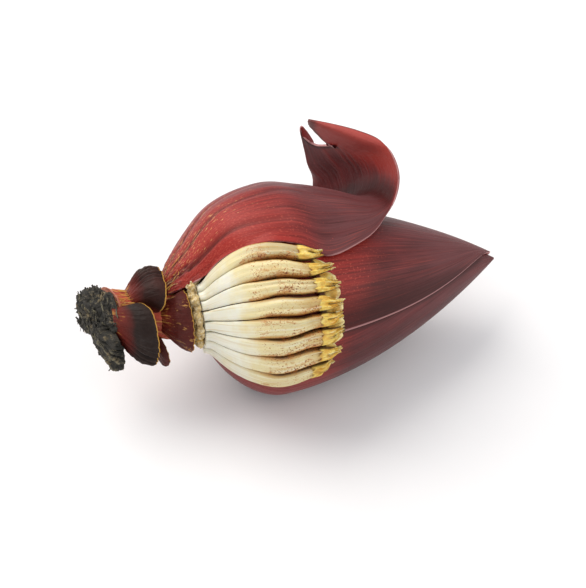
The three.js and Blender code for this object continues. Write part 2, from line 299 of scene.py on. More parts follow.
def thicken(piece, shares, sheet):
    """Gives a surface its thickness inward: `thick` mm times the share at each point. inner and rim
    pick the finishes of its back and its edge."""
    group = piece.vertex_groups.new(name="thickness")
    for index, share in enumerate(shares):
        group.add([index], float(share), "REPLACE")
    thick = piece.modifiers.new("thickness", "SOLIDIFY")
    thick.thickness = sheet["thick"] * MM
    thick.offset = -1
    thick.vertex_group = "thickness"
    thick.thickness_vertex_group = 0.15
    thick.use_even_offset = False
    thick.material_offset = sheet.get("inner", 0)
    thick.material_offset_rim = sheet.get("rim", 0)


def make_joined(name, parts, finish):
    """One piece out of many parts."""
    def at_points(part, values):
        return np.broadcast_to(values, part["points"].shape[:-1]).ravel()

    points, faces, start = [], [], 0
    for part in parts:
        points.append(part["points"].reshape(-1, 3))
        faces += [[start + index for index in face] for face in part["faces"]]
        start += len(points[-1])
    marks = {mark: np.concatenate([at_points(part, part["marks"][mark]) for part in parts])
             for mark in parts[0]["marks"]}
    lay = [np.concatenate([at_points(part, part["lay"][axis]) for part in parts]) for axis in (0, 1)]
    return make_piece(name, np.concatenate(points), faces, [finish], marks, lay)


def settle(piece, slot, *nodes):
    """The piece rides on the frame and stands for its nodes, which are hidden. The slot is not used."""
    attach(piece, "root")
    if nodes:
        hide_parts(*nodes)


# ---- Finishes ----------------------------------------------------------------------------

def add(tree, kind, inputs=None, stops=(), **settings):
    """Adds a shader node. Its settings are named, and its inputs are values or what feeds them: a
    socket, or a node, which stands for its first output."""
    node = tree.nodes.new("ShaderNode" + kind)
    for key, value in settings.items():
        setattr(node, key, value)
    for key, value in (inputs or {}).items():
        if isinstance(value, bpy.types.Node):
            value = value.outputs[0]
        if isinstance(value, bpy.types.NodeSocket):
            tree.links.new(value, node.inputs[key])
        else:
            node.inputs[key].default_value = value
    for index, (position, colour) in enumerate(stops):
        elements = node.color_ramp.elements
        element = elements[index] if index < len(elements) else elements.new(position)
        element.position = position
        element.color = colour
    return node


def open_finish(name, marks, patterns):
    """A material and its empty tree, the marks that it reads from the mesh, and its noise patterns.
    A pattern is (what it lies along, length and width of its grain in mm, detail, roughness): "lay"
    follows the surface, and "Object" goes through it."""
    material = bpy.data.materials.new(name)
    material.use_nodes = True
    tree = material.node_tree
    tree.nodes.clear()
    read = [add(tree, "Attribute", attribute_name=mark).outputs["Fac"] for mark in marks]
    grains = []
    for lies, length, width, detail, rough in patterns:
        where = add(tree, "UVMap", uv_map=lies) if lies == "lay" else add(tree, "TexCoord").outputs[lies]
        scale = (1 / (length * MM), 1 / (width * MM), 1 / (width * MM))
        drawn = add(tree, "Mapping", {"Vector": where, "Scale": scale})
        grain = {"Vector": drawn, "Scale": 1.0, "Detail": detail, "Roughness": rough}
        grains.append(add(tree, "TexNoise", grain))
    return material, tree, read, grains


def close_finish(tree, base, layers, rough, heights, **shader):
    """Joins colour, roughness and relief in the shader. A layer over the base colour is (mask, its
    low end, its high end, share, colour), and a height is (mask, depth in mm)."""
    for mask, low, high, share, colour in layers:
        cut = {0: mask, 1: low, 2: high, 3: 0.0, 4: share}
        laid = {0: add(tree, "MapRange", cut, interpolation_type="SMOOTHSTEP"), 6: base, 7: colour}
        base = add(tree, "Mix", laid, data_type="RGBA").outputs[2]
    relief = {}
    for height, depth in heights:
        bump = {"Height": height, "Distance": depth * MM, "Strength": 1.0, **relief}
        relief = {"Normal": add(tree, "Bump", bump)}
    inputs = {"Base Color": base, "Roughness": rough, **relief}
    inputs.update({key.replace("_", " "): value for key, value in shader.items()})
    add(tree, "OutputMaterial", {"Surface": add(tree, "BsdfPrincipled", inputs)})


def waxy_skin(colours, sizes):
    """Fresh bract: a fleshy, waxy leaf grown in long veins. The wax gives a satin gloss with a greyish bloom
    where it was not rubbed, redder flesh shows where it was, and veins run to the tip. The greyish wax colour
    also paints sheen on top edges and highlights on crinkle ridges, the red also paints light on lit parts,
    the pale line along the margins is partly a painted highlight, and the shade mark is painted shade."""
    vein = sizes.vein_spacing / MM
    material, tree, (red, bloom_and_sheen, fleck, shade, edge, calm), grains = open_finish(
        "bract, waxy skin", ("red", "bloom_and_sheen", "fleck", "shade", "edge", "calm"), [
            ("lay", 40, vein, 2, 0.6), ("lay", 111.111, 6 * vein, 4, 0.65), ("lay", 22.2222, 16.6667, 3, 0.6),
            # Pores and torn surface cells are about 0.2 mm wide, and are drawn coarser so that they show.
            ("lay", 1.11111, 0.869565, 2, 0.5), ("lay", 2.63158, 1.05263, 3, 0.6),
        ])
    veins, streaks, clouds, specks, threads = grains
    veins = add(tree, "Mix", {0: calm, 2: veins, 3: 0.48})
    streaked = add(tree, "Math", {0: streaks, 1: 0.5}, operation="SUBTRACT")
    redder = add(tree, "Math", {0: red, 1: streaked}, operation="ADD")
    stronger = add(tree, "Math", {0: streaks, 1: 1.3}, operation="MULTIPLY")
    bloom_and_sheen_streaked = add(tree, "Math", {0: bloom_and_sheen, 1: stronger}, operation="MULTIPLY")
    speckled = add(tree, "Math", {0: red, 1: 0.18, 2: specks}, operation="MULTIPLY_ADD")
    flecked = add(tree, "Math", {0: fleck, 1: 0.36, 2: threads}, operation="MULTIPLY_ADD")
    rough = add(tree, "MapRange", {0: bloom_and_sheen_streaked, 1: 0.0, 2: 0.9, 3: 0.36, 4: 0.56})
    close_finish(tree, colours.bract, [
        (clouds, 0.35, 0.7, 0.45, colours.bract_dark),
        # Rubbed skin, and painted light: the turned-over lobe of the curled bract and the top of the upper
        # wrap are painted brighter red.
        (redder, 0.1, 0.9, 1.0, colours.bract_red),
        # Greyish wax, also painted sheen on top edges and painted highlights on crinkle ridges.
        (bloom_and_sheen_streaked, 0.1, 0.8, 0.85, colours.bract_bloom),
        (veins, 0.5, 0.72, 0.5, colours.bract_dark),
        (veins, 0.46, 0.25, 0.3, colours.bract_glow),
        (speckled, 0.68, 0.8, 0.6, colours.bract_glow),
        (flecked, 0.87, 0.92, 0.95, colours.bract_fleck),
        (shade, 0.0, 1.0, 0.8, colours.bract_dark),
        # A pale line along the margins: the dried margin, and a painted highlight where the thin edge catches
        # the light.
        (edge, 0.014, 0.004, 0.85, colours.bract_margin),
    ], rough, [(streaks, 0.38), (veins, 0.1), (threads, 0.03)],
        Sheen_Weight=0.04, Sheen_Roughness=0.35, Sheen_Tint=linear("#e6c6cc"), Specular_IOR_Level=0.22)
    return material


def smooth_inside(colours, sizes):
    """Inner face of a bract: bright red, smooth and a little glossy, because it was pressed on wet
    flowers, with the veins just felt through it."""
    vein = sizes.vein_spacing / MM
    material, tree, _, (veins, streaks) = open_finish(
        "bract, smooth inner face", (), [("lay", 40, vein, 2, 0.6), ("lay", 83.3333, 6 * vein, 3, 0.5)])
    rough = add(tree, "MapRange", {0: streaks, 3: 0.28, 4: 0.42})
    close_finish(tree, colours.bract_inner, [
        (streaks, 0.4, 0.75, 0.6, colours.bract_dark), (veins, 0.5, 0.8, 0.4, colours.bract_red),
    ], rough, [(streaks, 0.3), (veins, 0.1)], Specular_IOR_Level=0.5)
    return material


def dried_margin(colours):
    """Margin of a bract: thin and dried pale and matt, in patches."""
    material, tree, _, (patches,) = open_finish(
        "bract, dried thin margin", (), [("lay", 3.84615, 3.84615, 3, 0.6)])
    rough = add(tree, "MapRange", {0: patches, 3: 0.5, 4: 0.7})
    layers = [(patches, 0.45, 0.7, 0.8, colours.bract)]
    close_finish(tree, colours.bract_margin, layers, rough, [(patches, 0.1)])
    return material


def bract_finishes(colours, sizes):
    return [waxy_skin(colours, sizes), smooth_inside(colours, sizes), dried_margin(colours)]


def waxy_petal(colours):
    """Flower: smooth, waxy, slightly translucent petals joined to a tube. It is white at the root and cream
    to tan along it, with rust specks where it was bruised, ochre browning along its edges with painted shade,
    painted shade deep in its grooves, and painted shade that greys the flowers under the curled bract."""
    material, tree, (ripe, groove, stain, dull), grains = open_finish(
        "flower, waxy cream petal", ("ripe", "groove", "stain", "dull"), [
            # The fibres of a petal are about 0.3 mm apart, and are drawn 0.77 mm apart so that they show.
            ("lay", 28.5714, 0.769231, 2, 0.6), ("Object", 11.1111, 11.1111, 3, 0.6),
            ("Object", 0.909091, 0.666667, 2, 0.6), ("Object", 11.7647, 9.09091, 2, 0.5),
            ("lay", 16.6667, 3.0303, 4, 0.65), ("lay", 6.25, 2.38095, 5, 0.75),
        ])
    fibres, clouds, specks, clusters, smears, bruises = grains
    mottle = add(tree, "MapRange", {0: clouds, 3: -0.3, 4: 0.3})
    ripening = add(tree, "Math", {0: ripe, 1: mottle}, operation="ADD")
    base = add(tree, "ValToRGB", {0: ripening}, stops=[
        (0.0, colours.petal_white), (0.06, colours.petal_white), (0.28, colours.petal_cream),
        (0.62, colours.petal_cream), (0.8, colours.petal_tan), (1.0, colours.petal_ripe),
    ])
    grimed = add(tree, "Math", {0: groove, 1: 0.15, 2: clusters}, operation="MULTIPLY_ADD")
    clustered = add(tree, "Math", {0: stain, 1: grimed}, operation="MULTIPLY")
    rust = add(tree, "Math", {0: clustered, 1: 0.5, 2: specks}, operation="MULTIPLY_ADD")
    bruised = add(tree, "Math", {0: clustered, 1: 0.42, 2: bruises}, operation="MULTIPLY_ADD")
    smeared = add(tree, "Math", {0: smears, 1: stain}, operation="MULTIPLY")
    uneven = add(tree, "MapRange", {0: smears, 3: -0.35, 4: 0.35})
    rim = add(tree, "Math", {0: groove, 1: uneven}, operation="ADD")
    rough = add(tree, "MapRange", {0: ripening, 3: 0.34, 4: 0.55})
    close_finish(tree, base, [
        # Painted shade: greyer on the top flower, which lies under the curled bract, a little on the lowest
        # flower, and on the hand under the curled bract.
        (dull, 0.0, 1.0, 0.7, colours.petal_dull),
        (fibres, 0.5, 0.75, 0.5, colours.petal_tan),
        (fibres, 0.47, 0.3, 0.5, colours.petal_white),
        (smeared, 0.42, 0.62, 0.65, colours.petal_ripe),
        # An ochre band along the flowers' edges, browning with painted shade, and painted shade in the depth
        # of the grooves.
        (rim, 0.25, 0.85, 0.75, colours.petal_ochre),
        (rim, 0.8, 1.1, 0.9, colours.petal_dark),
        (bruised, 0.755, 0.82, 0.65, colours.rust),
        (rust, 0.82, 0.87, 0.75, colours.rust),
        (rust, 0.9, 0.94, 0.85, colours.rust_dark),
    ], rough, [(fibres, 0.06), (smears, 0.12)],
        Subsurface_Weight=0.18, Subsurface_Radius=(0.004, 0.003, 0.0015), Subsurface_Scale=1.0)
    return material


def drying_lip(colours):
    """Flower's mouth: fleshy yellow lobes that crumple as they dry. The crests of their folds are paler,
    partly dried tissue and partly a painted highlight, and painted shade darkens their sides and the crease
    where the lobes part."""
    material, tree, (edge, foot, pale), (creases, blotches) = open_finish(
        "flower, crumpled drying lip", ("groove", "stain", "pale"),
        [("lay", 6.25, 1.42857, 3, 0.6), ("Object", 4.16667, 4.16667, 4, 0.65)])
    uneven = add(tree, "MapRange", {0: blotches, 3: -0.55, 4: 0.55})
    footed = add(tree, "Math", {0: foot, 1: uneven}, operation="ADD")
    rough = add(tree, "MapRange", {0: blotches, 3: 0.4, 4: 0.65})
    close_finish(tree, colours.lip, [
        (blotches, 0.42, 0.6, 0.85, colours.lip_deep),
        (blotches, 0.46, 0.3, 0.5, colours.lip_pale),
        # Paler on the crests of the folds: dried edges, and a painted highlight.
        (pale, 0.1, 0.8, 0.8, colours.lip_pale),
        (creases, 0.5, 0.68, 0.75, colours.petal_ochre),
        # Painted shade at the lips' sides and in the crease where the lobes part.
        (edge, 0.3, 1.0, 0.9, colours.petal_dark),
        (footed, 0.75, 1.15, 0.8, colours.rust_dark),
    ], rough, [(creases, 0.3), (blotches, 0.2)],
        Subsurface_Weight=0.12, Subsurface_Radius=(0.003, 0.002, 0.0008), Subsurface_Scale=1.0)
    return material


def dry_cork(colours):
    """Cork: dead tissue the flowers stood in, crumbly and matt, tan with darker pits."""
    material, tree, (pit,), (lumps, grains, pits) = open_finish(
        "cork cushion, dry", ("pit",),
        [("Object", 6.25, 6.25, 3, 0.6), ("Object", 1.11111, 1.11111, 3, 0.6),
         ("Object", 2.63158, 2.63158, 2, 0.5)])
    rough = add(tree, "MapRange", {0: grains, 3: 0.75, 4: 0.95})
    close_finish(tree, colours.cork, [
        (lumps, 0.45, 0.7, 0.8, colours.cork_yellow), (grains, 0.48, 0.62, 0.85, colours.cork_pale),
        (pits, 0.64, 0.76, 0.6, colours.cork_dark), (pit, 0.12, 0.45, 0.6, colours.cork_dark),
    ], rough, [(lumps, 0.8), (pits, -0.9), (grains, 0.35)])
    return material


def fibrous_tissue(colours):
    """Stalk: wet fibrous tissue, orange red, with stiff yellow fibres lying along it."""
    material, tree, (edge,), (fibres, streaks, clouds) = open_finish(
        "stalk, fibrous red tissue", ("skin",),
        [("lay", 7.69231, 1.11111, 3, 0.65), ("lay", 25, 3.33333, 3, 0.6), ("lay", 8.33333, 8.33333, 3, 0.6)])
    rough = add(tree, "MapRange", {0: streaks, 3: 0.4, 4: 0.65})
    close_finish(tree, colours.stalk, [
        (clouds, 0.4, 0.75, 0.6, colours.stalk_dark), (streaks, 0.5, 0.75, 0.7, colours.stalk_orange),
        (fibres, 0.55, 0.66, 0.85, colours.fibre), (edge, 0.1, 0.9, 0.8, colours.stalk_pink),
    ], rough, [(streaks, 0.5), (fibres, 0.5)])
    return material


def charred_cut(colours):
    """Dried cut: charcoal coloured, cracked and stringy, with grey-tan fibre ends."""
    material, tree, (crack,), (strings, clouds, grit, patches) = open_finish(
        "cut end, blackened and dried", ("crack",), [
            ("Object", 3.84615, 1.6129, 5, 0.75), ("Object", 7.69231, 7.69231, 3, 0.6),
            ("Object", 0.769231, 0.769231, 2, 0.6), ("Object", 5.26316, 4.16667, 4, 0.7),
        ])
    rough = add(tree, "MapRange", {0: strings, 3: 0.5, 4: 0.9})
    close_finish(tree, colours.char, [
        (clouds, 0.42, 0.7, 0.8, colours.char_grey), (strings, 0.55, 0.68, 0.8, colours.char_fibre),
        (patches, 0.55, 0.66, 0.75, colours.char_tan), (strings, 0.44, 0.3, 0.8, colours.char_dark),
        # Darker in cracks, paler at some fibre ends; on the low base, painted shade in hollows and a painted
        # highlight on crests.
        (grit, 0.62, 0.78, 0.35, colours.char_fibre), (crack, 0.02, 0.16, 0.9, colours.char_dark),
        (crack, -0.02, -0.14, 0.6, colours.char_fibre),
    ], rough, [(strings, 0.9), (grit, 0.25)])
    return material


def dried_hide(colours):
    """Bract base left on the stalk: dried to a near-black hide with long wrinkles, still warm brown in
    places, orange at its root, scraped to fibres in streaks, and golden along its torn edge. Its pleats are
    painted lighter on their ridges and darker in their grooves: painted highlight and painted shade."""
    material, tree, (root, fresh, ridge, torn), grains = open_finish(
        "bract base, dried dark hide", ("root", "fresh", "ridge", "torn"), [
            ("lay", 16.6667, 2.38095, 4, 0.65), ("lay", 9.09091, 11.1111, 3, 0.6),
            ("lay", 3.0303, 1.66667, 4, 0.7),
            ("lay", 5, 1.11111, 3, 0.6), ("lay", 7.14286, 3.84615, 5, 0.8),
        ])
    wrinkles, clouds, cracks, threads, scars = grains
    spread = add(tree, "MapRange", {0: clouds, 3: -0.3, 4: 0.3})
    rooted = add(tree, "Math", {0: root, 1: spread}, operation="ADD")
    warm = add(tree, "Math", {0: fresh, 1: spread}, operation="ADD")
    stringy = add(tree, "Math", {0: threads, 1: rooted}, operation="MULTIPLY")
    scraped = add(tree, "Math", {0: scars, 1: fresh}, operation="MULTIPLY")
    rough = add(tree, "MapRange", {0: clouds, 3: 0.4, 4: 0.62})
    close_finish(tree, colours.stub, [
        (clouds, 0.4, 0.75, 0.6, colours.stub_grey), (warm, 0.2, 1.1, 1.0, colours.stub_maroon),
        # Painted highlight on the ridges of the pleats and painted shade in their grooves.
        (ridge, 0.05, 0.5, 0.8, colours.stub_ridge), (ridge, 0.0, -0.5, 0.9, colours.stub_black),
        (cracks, 0.42, 0.25, 0.8, colours.stub_black), (rooted, 0.08, 0.45, 0.8, colours.stub_maroon),
        (rooted, 0.35, 0.9, 0.75, colours.stalk_dark), (rooted, 0.7, 1.15, 0.85, colours.stalk_orange),
        (stringy, 0.4, 0.52, 0.8, colours.fibre), (scraped, 0.485, 0.53, 0.75, colours.fibre_brown),
        (torn, 0.2, 0.9, 0.9, colours.rim),
    ], rough, [(wrinkles, 0.7), (cracks, 0.25), (scraped, 0.5)], Specular_IOR_Level=0.2)
    return material


def torn_rim(colours):
    """Torn edge of a bract base, and loose fibres: golden, dry and crumbly, so it hardly shines."""
    material, tree, _, (crumbs,) = open_finish(
        "bract base, torn golden rim", (), [("lay", 1.42857, 1.42857, 4, 0.65)])
    rough = add(tree, "MapRange", {0: crumbs, 3: 0.6, 4: 0.85})
    close_finish(tree, colours.rim, [
        (crumbs, 0.5, 0.7, 0.8, colours.cork_pale), (crumbs, 0.42, 0.3, 0.8, colours.fibre_brown),
    ], rough, [(crumbs, 0.5)])
    return material


def studio_paper(colours):
    """Studio paper: pressed pulp, matt white, with a faint unevenness of tone."""
    material, tree, _, (tone,) = open_finish(
        "studio paper, matt white", (), [("Object", 33.3333, 33.3333, 2, 0.5)])
    rough = add(tree, "MapRange", {0: tone, 3: 0.85, 4: 0.95})
    close_finish(tree, colours.floor, [(tone, 0.3, 0.8, 0.05, linear("#d8d8dc"))], rough, [(tone, 0.05)])
    return material


# ---- Pieces: the bud ---------------------------------------------------------------------

def bract_marks(red, bloom_and_sheen, fleck=0.0, shade=0.0, edge=1.0, calm=0.0):
    """What the waxy skin reads: how red it is, painted light included, how much greyish wax it shows, painted
    sheen and highlights included, how flecked it is, how much painted shade it has, how far it is from its
    side margins, and how calm its veins are."""
    return {"red": red, "bloom_and_sheen": bloom_and_sheen, "fleck": fleck, "shade": shade, "edge": edge, "calm": calm}


def wrap_half(s):
    """Half of the angle that the upper wrap covers at s."""
    return WRAP["apex"] + WRAP["half"] * np.sqrt(np.maximum(0, 1 - (s / (WRAP["to"] + 0.5)) ** 8))


def wrap_lay(s, v, half):
    return s, (2 * v - 1) * math.radians(half) * RADIUS


def build_core(finishes):
    """The leaves inside, which close the bud's tip and show through no gap."""
    u, v = ring_grid(*MESH["core"])
    s = mix(FIRST_RING, CORE["to"], u ** 1.2)
    r = np.maximum(skin(s, CORE["depth"]), NECK - 1.2 * (s - FIRST_RING))
    core = make_piece("bud_inner_leaves", place(s, 360 * v, r, CORE["above"]), closed_loft(*MESH["core"]),
                      finishes[:1], bract_marks(0.3, 0.5), (s, np.radians(360 * v) * RADIUS))
    settle(core, "bract", "bud_core")


def build_under_wrap(finishes):
    """The bract whose apex forms the tip. It goes nearly all round, and is shaded beside the other."""
    u, v = grid(*MESH["under"])
    s = mix(FIRST_RING, UNDER["to"], u ** 1.2)
    half = mix(UNDER["half"], UNDER["closed"], ease(u, 0.45, 0.95))
    psi = UNDER["middle"] + half * (2 * v - 1)
    r = np.maximum(skin(s, 0), NECK + UNDER["thick"] - 1.2 * (s - FIRST_RING))
    edge = np.minimum(v, 1 - v) * 2
    red = 0.75 * ease(s, 78, 40) * ease(psi, 185, 115) + 0.25 * ease(s, 12, 0)
    bloom_and_sheen = 0.3 + 0.35 * ease(s, 60, 120)
    beside = np.radians(psi - WRAP["middle"] - wrap_half(np.minimum(s, WRAP["to"]))) * skin(s, 0)
    shade = 0.9 * ease(beside, 5, 0.5) * ease(s, 150, 140) + 0.45 * ease(beside, 4, 14)
    share = mix(1.0, 0.45, ease(edge, 0.05, 0.0)) * mix(1.0, 0.15, ease(u, 0.86, 0.98))
    under = make_piece("bract_under_wrap", place(s, psi, r), grid_faces(*MESH["under"], flip=True), finishes,
                       bract_marks(red, bloom_and_sheen, 0.0, shade, edge), wrap_lay(s, v, UNDER["half"]),
                       {"thick": UNDER["thick"], "share": share, "inner": 1, "rim": 2})
    settle(under, "bract", "bract_third")


def build_upper_wrap(finishes):
    u, v = grid(*MESH["upper"])
    s = mix(WRAP["from"], WRAP["to"], u)
    psi = WRAP["middle"] + wrap_half(s) * (2 * v - 1)
    over = WRAP["over"] + 0.5 * ease(u, 0.7, 0.95)
    edge = np.minimum(v, 1 - v) * 2
    red = 0.75 * ease(s + 0.35 * psi, 112, 62) * ease(psi, -30, 20)
    # Painted sheen: the top of the wrap toward the tip is painted redder.
    red = red + 0.25 * hump(psi, -5, 22) * ease(s, 90, 130)
    # Greyish wax; the last term is painted sheen along the top of the wrap.
    bloom_and_sheen = 0.25 + 0.6 * ease(s, 75, 125) * ease(psi, -80, 40) + 0.2 * ease(psi, 20, -30)
    share = mix(1.0, 0.5, ease(edge, 0.05, 0.0))
    marks = bract_marks(red, bloom_and_sheen, 0.15 * ease(s, 66, 52), 0.9 * ease(psi, 34, 67), edge)
    wrap = make_piece("bract_upper_wrap", place(s, psi, skin(s, -over)),
                      grid_faces(*MESH["upper"], flip=True), finishes, marks, wrap_lay(s, v, WRAP["half"]),
                      {"thick": WRAP["thick"], "share": share, "inner": 1, "rim": 2})
    settle(wrap, "bract", "bract_second")


# ---- Pieces: the curled bract -----------------------------------------------------------

def rail_points(stations, t):
    """Points of a smooth line through the stations, at t from 0 to 1."""
    knots = np.array(stations, dtype=float)
    knots = np.concatenate([[2 * knots[0] - knots[1]], knots, [2 * knots[-1] - knots[-2]]])
    along = np.clip(t, 0, 1) * (len(stations) - 1)
    index = np.minimum(along.astype(int), len(stations) - 2)
    f = (along - index)[..., None]
    a, b, c, d = (knots[index + k] for k in range(4))
    bend = (2 * a - 5 * b + 4 * c - d) * f ** 2 + (3 * b - a - 3 * c + d) * f ** 3
    return 0.5 * (2 * b + (c - a) * f + bend)


def curled_surface(u, v):
    """Bud coordinates on the outer face of the curled bract."""
    # The long lobe bulges over the end of the notch.
    v = v + (0.08 * ease(u, 0.89, 0.925) - 0.04 * ease(u, 0.8, 0.88)) * hump(v, 0.7, 0.1)
    turned = ease(u, 0.78, 0.88)
    near, middle, far = (rail_points(rail, u) for rail in (NEAR_MARGIN, MIDRIB, FAR_MARGIN))
    w = np.minimum(1, v * mix(1, 1 / FOLD["from"], turned))[..., None]
    point = near * (1 - w) * (1 - 2 * w) + middle * 4 * w * (1 - w) + far * w * (2 * w - 1)
    s, psi, r = point[..., 0], point[..., 1], point[..., 2]
    behind = np.maximum(0, v - FOLD["from"]) / (1 - FOLD["from"]) * turned
    rolled = np.maximum(0, 1 - v / 0.35) ** 2 * ease(u, 0.5, 0.7)
    s = s + FOLD["over"] * behind + 1.2 * rolled
    psi = psi - FOLD["behind"] * np.sqrt(behind) - 2 * rolled
    return s, psi, np.maximum(r, skin(s, -WRAP["over"] - 2 - 3 * GAP))


def curled_marks(u, v, along, edge, fold, base, crinkle):
    """Where the curled bract is red, with painted light on its turned-over lobe, how much greyish wax it
    shows, with painted sheen and highlights, where it is flecked, and where painted shade darkens it.
    """
    turned = ease(along + 0.25 * (0.35 - v), 0.64, 0.84)
    # The turned term paints the turned-over lobe bright red: painted light where it faces the light.
    red = (0.8 * ease(along, 0.48, 0.15) * ease(v, 0.7, 0.08) + 0.35 * ease(along, 0.3, 0.0)
           + 1.2 * turned * ease(v, 0.95, 0.4) + 0.18 * ease(along, 0.64, 0.7))
    # Greyish wax; the term across v is painted sheen along the top edge, and the crinkle term is painted
    # highlights on its ridges.
    bloom_and_sheen = (mix(0.2, 0.02, ease(along, 0.62, 0.68)) + 0.25 * ease(along, 0.86, 0.94)
             + 1.2 * np.maximum(0, crinkle)
             + (0.6 * ease(along, 0.2, 0.45) + 0.4 * ease(v, 0.3, 0.6)) * ease(along, 0.66, 0.58))
    fleck = ((0.75 + 0.2 * fold) * ease(along, 0.5, 0.12) * ease(v, 0.02, 0.2)
             * mix(0.75, 1, ease(v, 0.6, 0.4)) + 0.12 * base)
    torn = np.maximum(ease(edge, 0.06, 0.02) * ease(u, 0.8, 0.86), ease(u, 0.975, 0.995))
    shade = (0.85 * hump(along, 0.66, 0.07) * ease(v, 0.0, 0.2) + 0.75 * fold
             + np.maximum(0, -1.2 * crinkle) + 0.9 * torn)
    # The thin far end has dried a little, so it is paler, like the margin.
    paler = mix(0.014, 0.0114, ease(along, 0.76, 0.86) * ease(v, 0.8, 0.55))
    from_margin = np.minimum(edge + 0.05 * ease(along, 0.4, 0.25) + 0.05 * ease(u, 0.78, 0.84), paler)
    return bract_marks(np.clip(red, 0, 1.2), bloom_and_sheen, fleck, shade, from_margin, 0.65 * ease(along, 0.6, 0.7))


def build_curled_bract(colours, sizes):
    u, v = grid(*MESH["curled"])
    reach = np.interp(v, *zip(*REACH))
    along = mix(u, u * reach, ease(u, 0.5, 1))
    s, psi, r = curled_surface(along, v)
    # Folds sweep up from the base, where the bract shrivelled as it opened.
    phase = 9 * v + 0.35 * np.sin(7 * along) + 0.3 * noise_line(v, 6.0, 2)
    fold = hump(phase % 1, 0.5, 0.16) * ease(along, 0.4, 0.1) * ease(v, 0.0, 0.1) * ease(v, 1.0, 0.8)
    base = ease(along, 0.15, 0.03)
    crinkle = bumps(np.stack([s * 0.25, psi * 0.5, r * 0.3], -1), 1.5, 12.0, 3) * base
    r = r - 0.9 * fold * ease(along, 0.0, 0.04) + 1.5 * crinkle * ease(along, 0.0, 0.02)
    edge = np.minimum(v, 1 - v) * 2
    thin = mix(1.0, 0.3, ease(along, 0.5, 0.62) * ease(v, 0.45, 0.15))
    share = mix(1.0, 0.3, ease(edge, 0.08, 0.0)) * mix(1.0, 0.35, ease(along, 0.86, 0.96)) * thin
    bract = make_piece("bract_curled_back", place(s, psi, r), grid_faces(*MESH["curled"]),
                       bract_finishes(colours, sizes), curled_marks(u, v, along, edge, fold, base, crinkle),
                       (along * CURLED["length"], (v - 0.5) * CURLED["width"]),
                       {"thick": CURLED["thick"], "share": share, "inner": 1, "rim": 2})
    settle(bract, "bract", "bract_curled")


# ---- Pieces: the flowers ------------------------------------------------------------------

def hand_angle(k, s):
    """Angle of the edge between two flowers. The row fans wide at the crown and draws together."""
    opening = np.maximum(0, 1 - s / 50)
    wobble = 0.5 * np.sin(0.13 * s + 2.3 * k) + 0.35 * np.sin(0.31 * s + 1.1 * k)
    angle = mix(20 - 25 * opening ** 1.6, 89 + 27 * opening ** 2, k / HAND["count"])
    return angle + wobble * ease(s, 6, 18) * (k > 0.4) * (k < HAND["count"] - 0.4)


def hand_floor(s):
    return np.maximum(skin(s, -2) + 0.5 + 2.8 * ease(s, 32, 43), 14.4)


def hand_top(s):
    over = skin(s + 0.5, -2) + 2 + (HAND["height"] - 2) * ease(s, 0, 26)
    return (over + HAND["root"] + np.sqrt((over - HAND["root"]) ** 2 + 25)) / 2


def flower_length(k):
    return HAND["to"] - 7.5 * np.abs((k + 0.5 - HAND["count"] / 2) / (HAND["count"] / 2)) ** 3


def flower_section(k, s, v, narrow, rounding, high):
    """Rings of a flower: their bud coordinates, where across it each point is and how far up, from
    -1 to 1, and half its width in mm."""
    turn = 2 * math.pi * v
    side = np.sign(np.cos(turn)) * np.abs(np.cos(turn)) ** rounding
    up = np.sign(np.sin(turn)) * np.abs(np.sin(turn)) ** 0.8
    r = mix(hand_floor(s), high, (up + 1) / 2)
    share = (hand_angle(k + 1, s) - hand_angle(k, s)) / 2
    width = share - np.degrees(GAP / 2 / r)
    psi = (hand_angle(k, s) + hand_angle(k + 1, s)) / 2 + width * side * narrow
    return psi, r, side, up, np.radians(width) * r


def flower_lay(k, s, across):
    """Lengths along and across a flower, set apart from its neighbours' so that no two look alike."""
    return s + 70 * k, across + 20 * k


def flower_tube(k, rng):
    """The joined petals, as far as the yellow lobes at the mouth."""
    length = flower_length(k)
    u, v = ring_grid(*MESH["tube"])
    s = mix(HAND["from"], length - LIP["from"] + 3, u)
    closing = ease(s, 0.86 * length, length) ** 2
    high = mix(hand_top(s), hand_floor(s) + 2.4, closing) - 0.5 * ease(u, 0.93, 1)
    narrow = 1 - 0.1 * ease(s, 22, 46) - 0.12 * ease(u, 0.88, 1)
    psi, r, side, up, half_width = flower_section(k, s, v, narrow, 0.62, high)
    creases = sum(hump(side, at, 0.09) for at in (rng.uniform(-0.5, -0.15), rng.uniform(0.2, 0.55)))
    flats = 0.25 * np.sin(2.5 * side * math.pi + rng.uniform(0, 6)) * ease(s, 4, 14)
    r = r + (flats - 0.4 * creases * ease(s, 8, 26)) * (up > 0)
    points = place(s, psi, r)
    points = points + (0.35 * bumps(points, 7.0, 5.0 * k, 3))[..., None] * np.array([0, -0.5, 0.8])
    return part_of(
        (points, closed_loft(*MESH["tube"])), flower_lay(k, s, side * half_width),
        ripe=s / 50 + 0.08 * (k == 0) + 0.35 * ease(s, length - 13, length - 7),
        # How near the flower's side: ochre browning with painted shade, and painted shade in the groove.
        groove=ease(np.abs(side), 0.45, 1.0) * ease(s, 2, 24) * 1.15,
        # Stained from a little way up; more toward each flower's lower edge, which is painted shade there.
        stain=ease(s, 5, 19) * (0.75 + 0.25 * ease(side, -0.8, 0.8)),
        # Painted shade: the top flower lies under the curled bract; the lowest is a little greyer.
        dull=0.9 * (k == 0) * ease(s, 10, 24) + 0.35 * (k == 7))


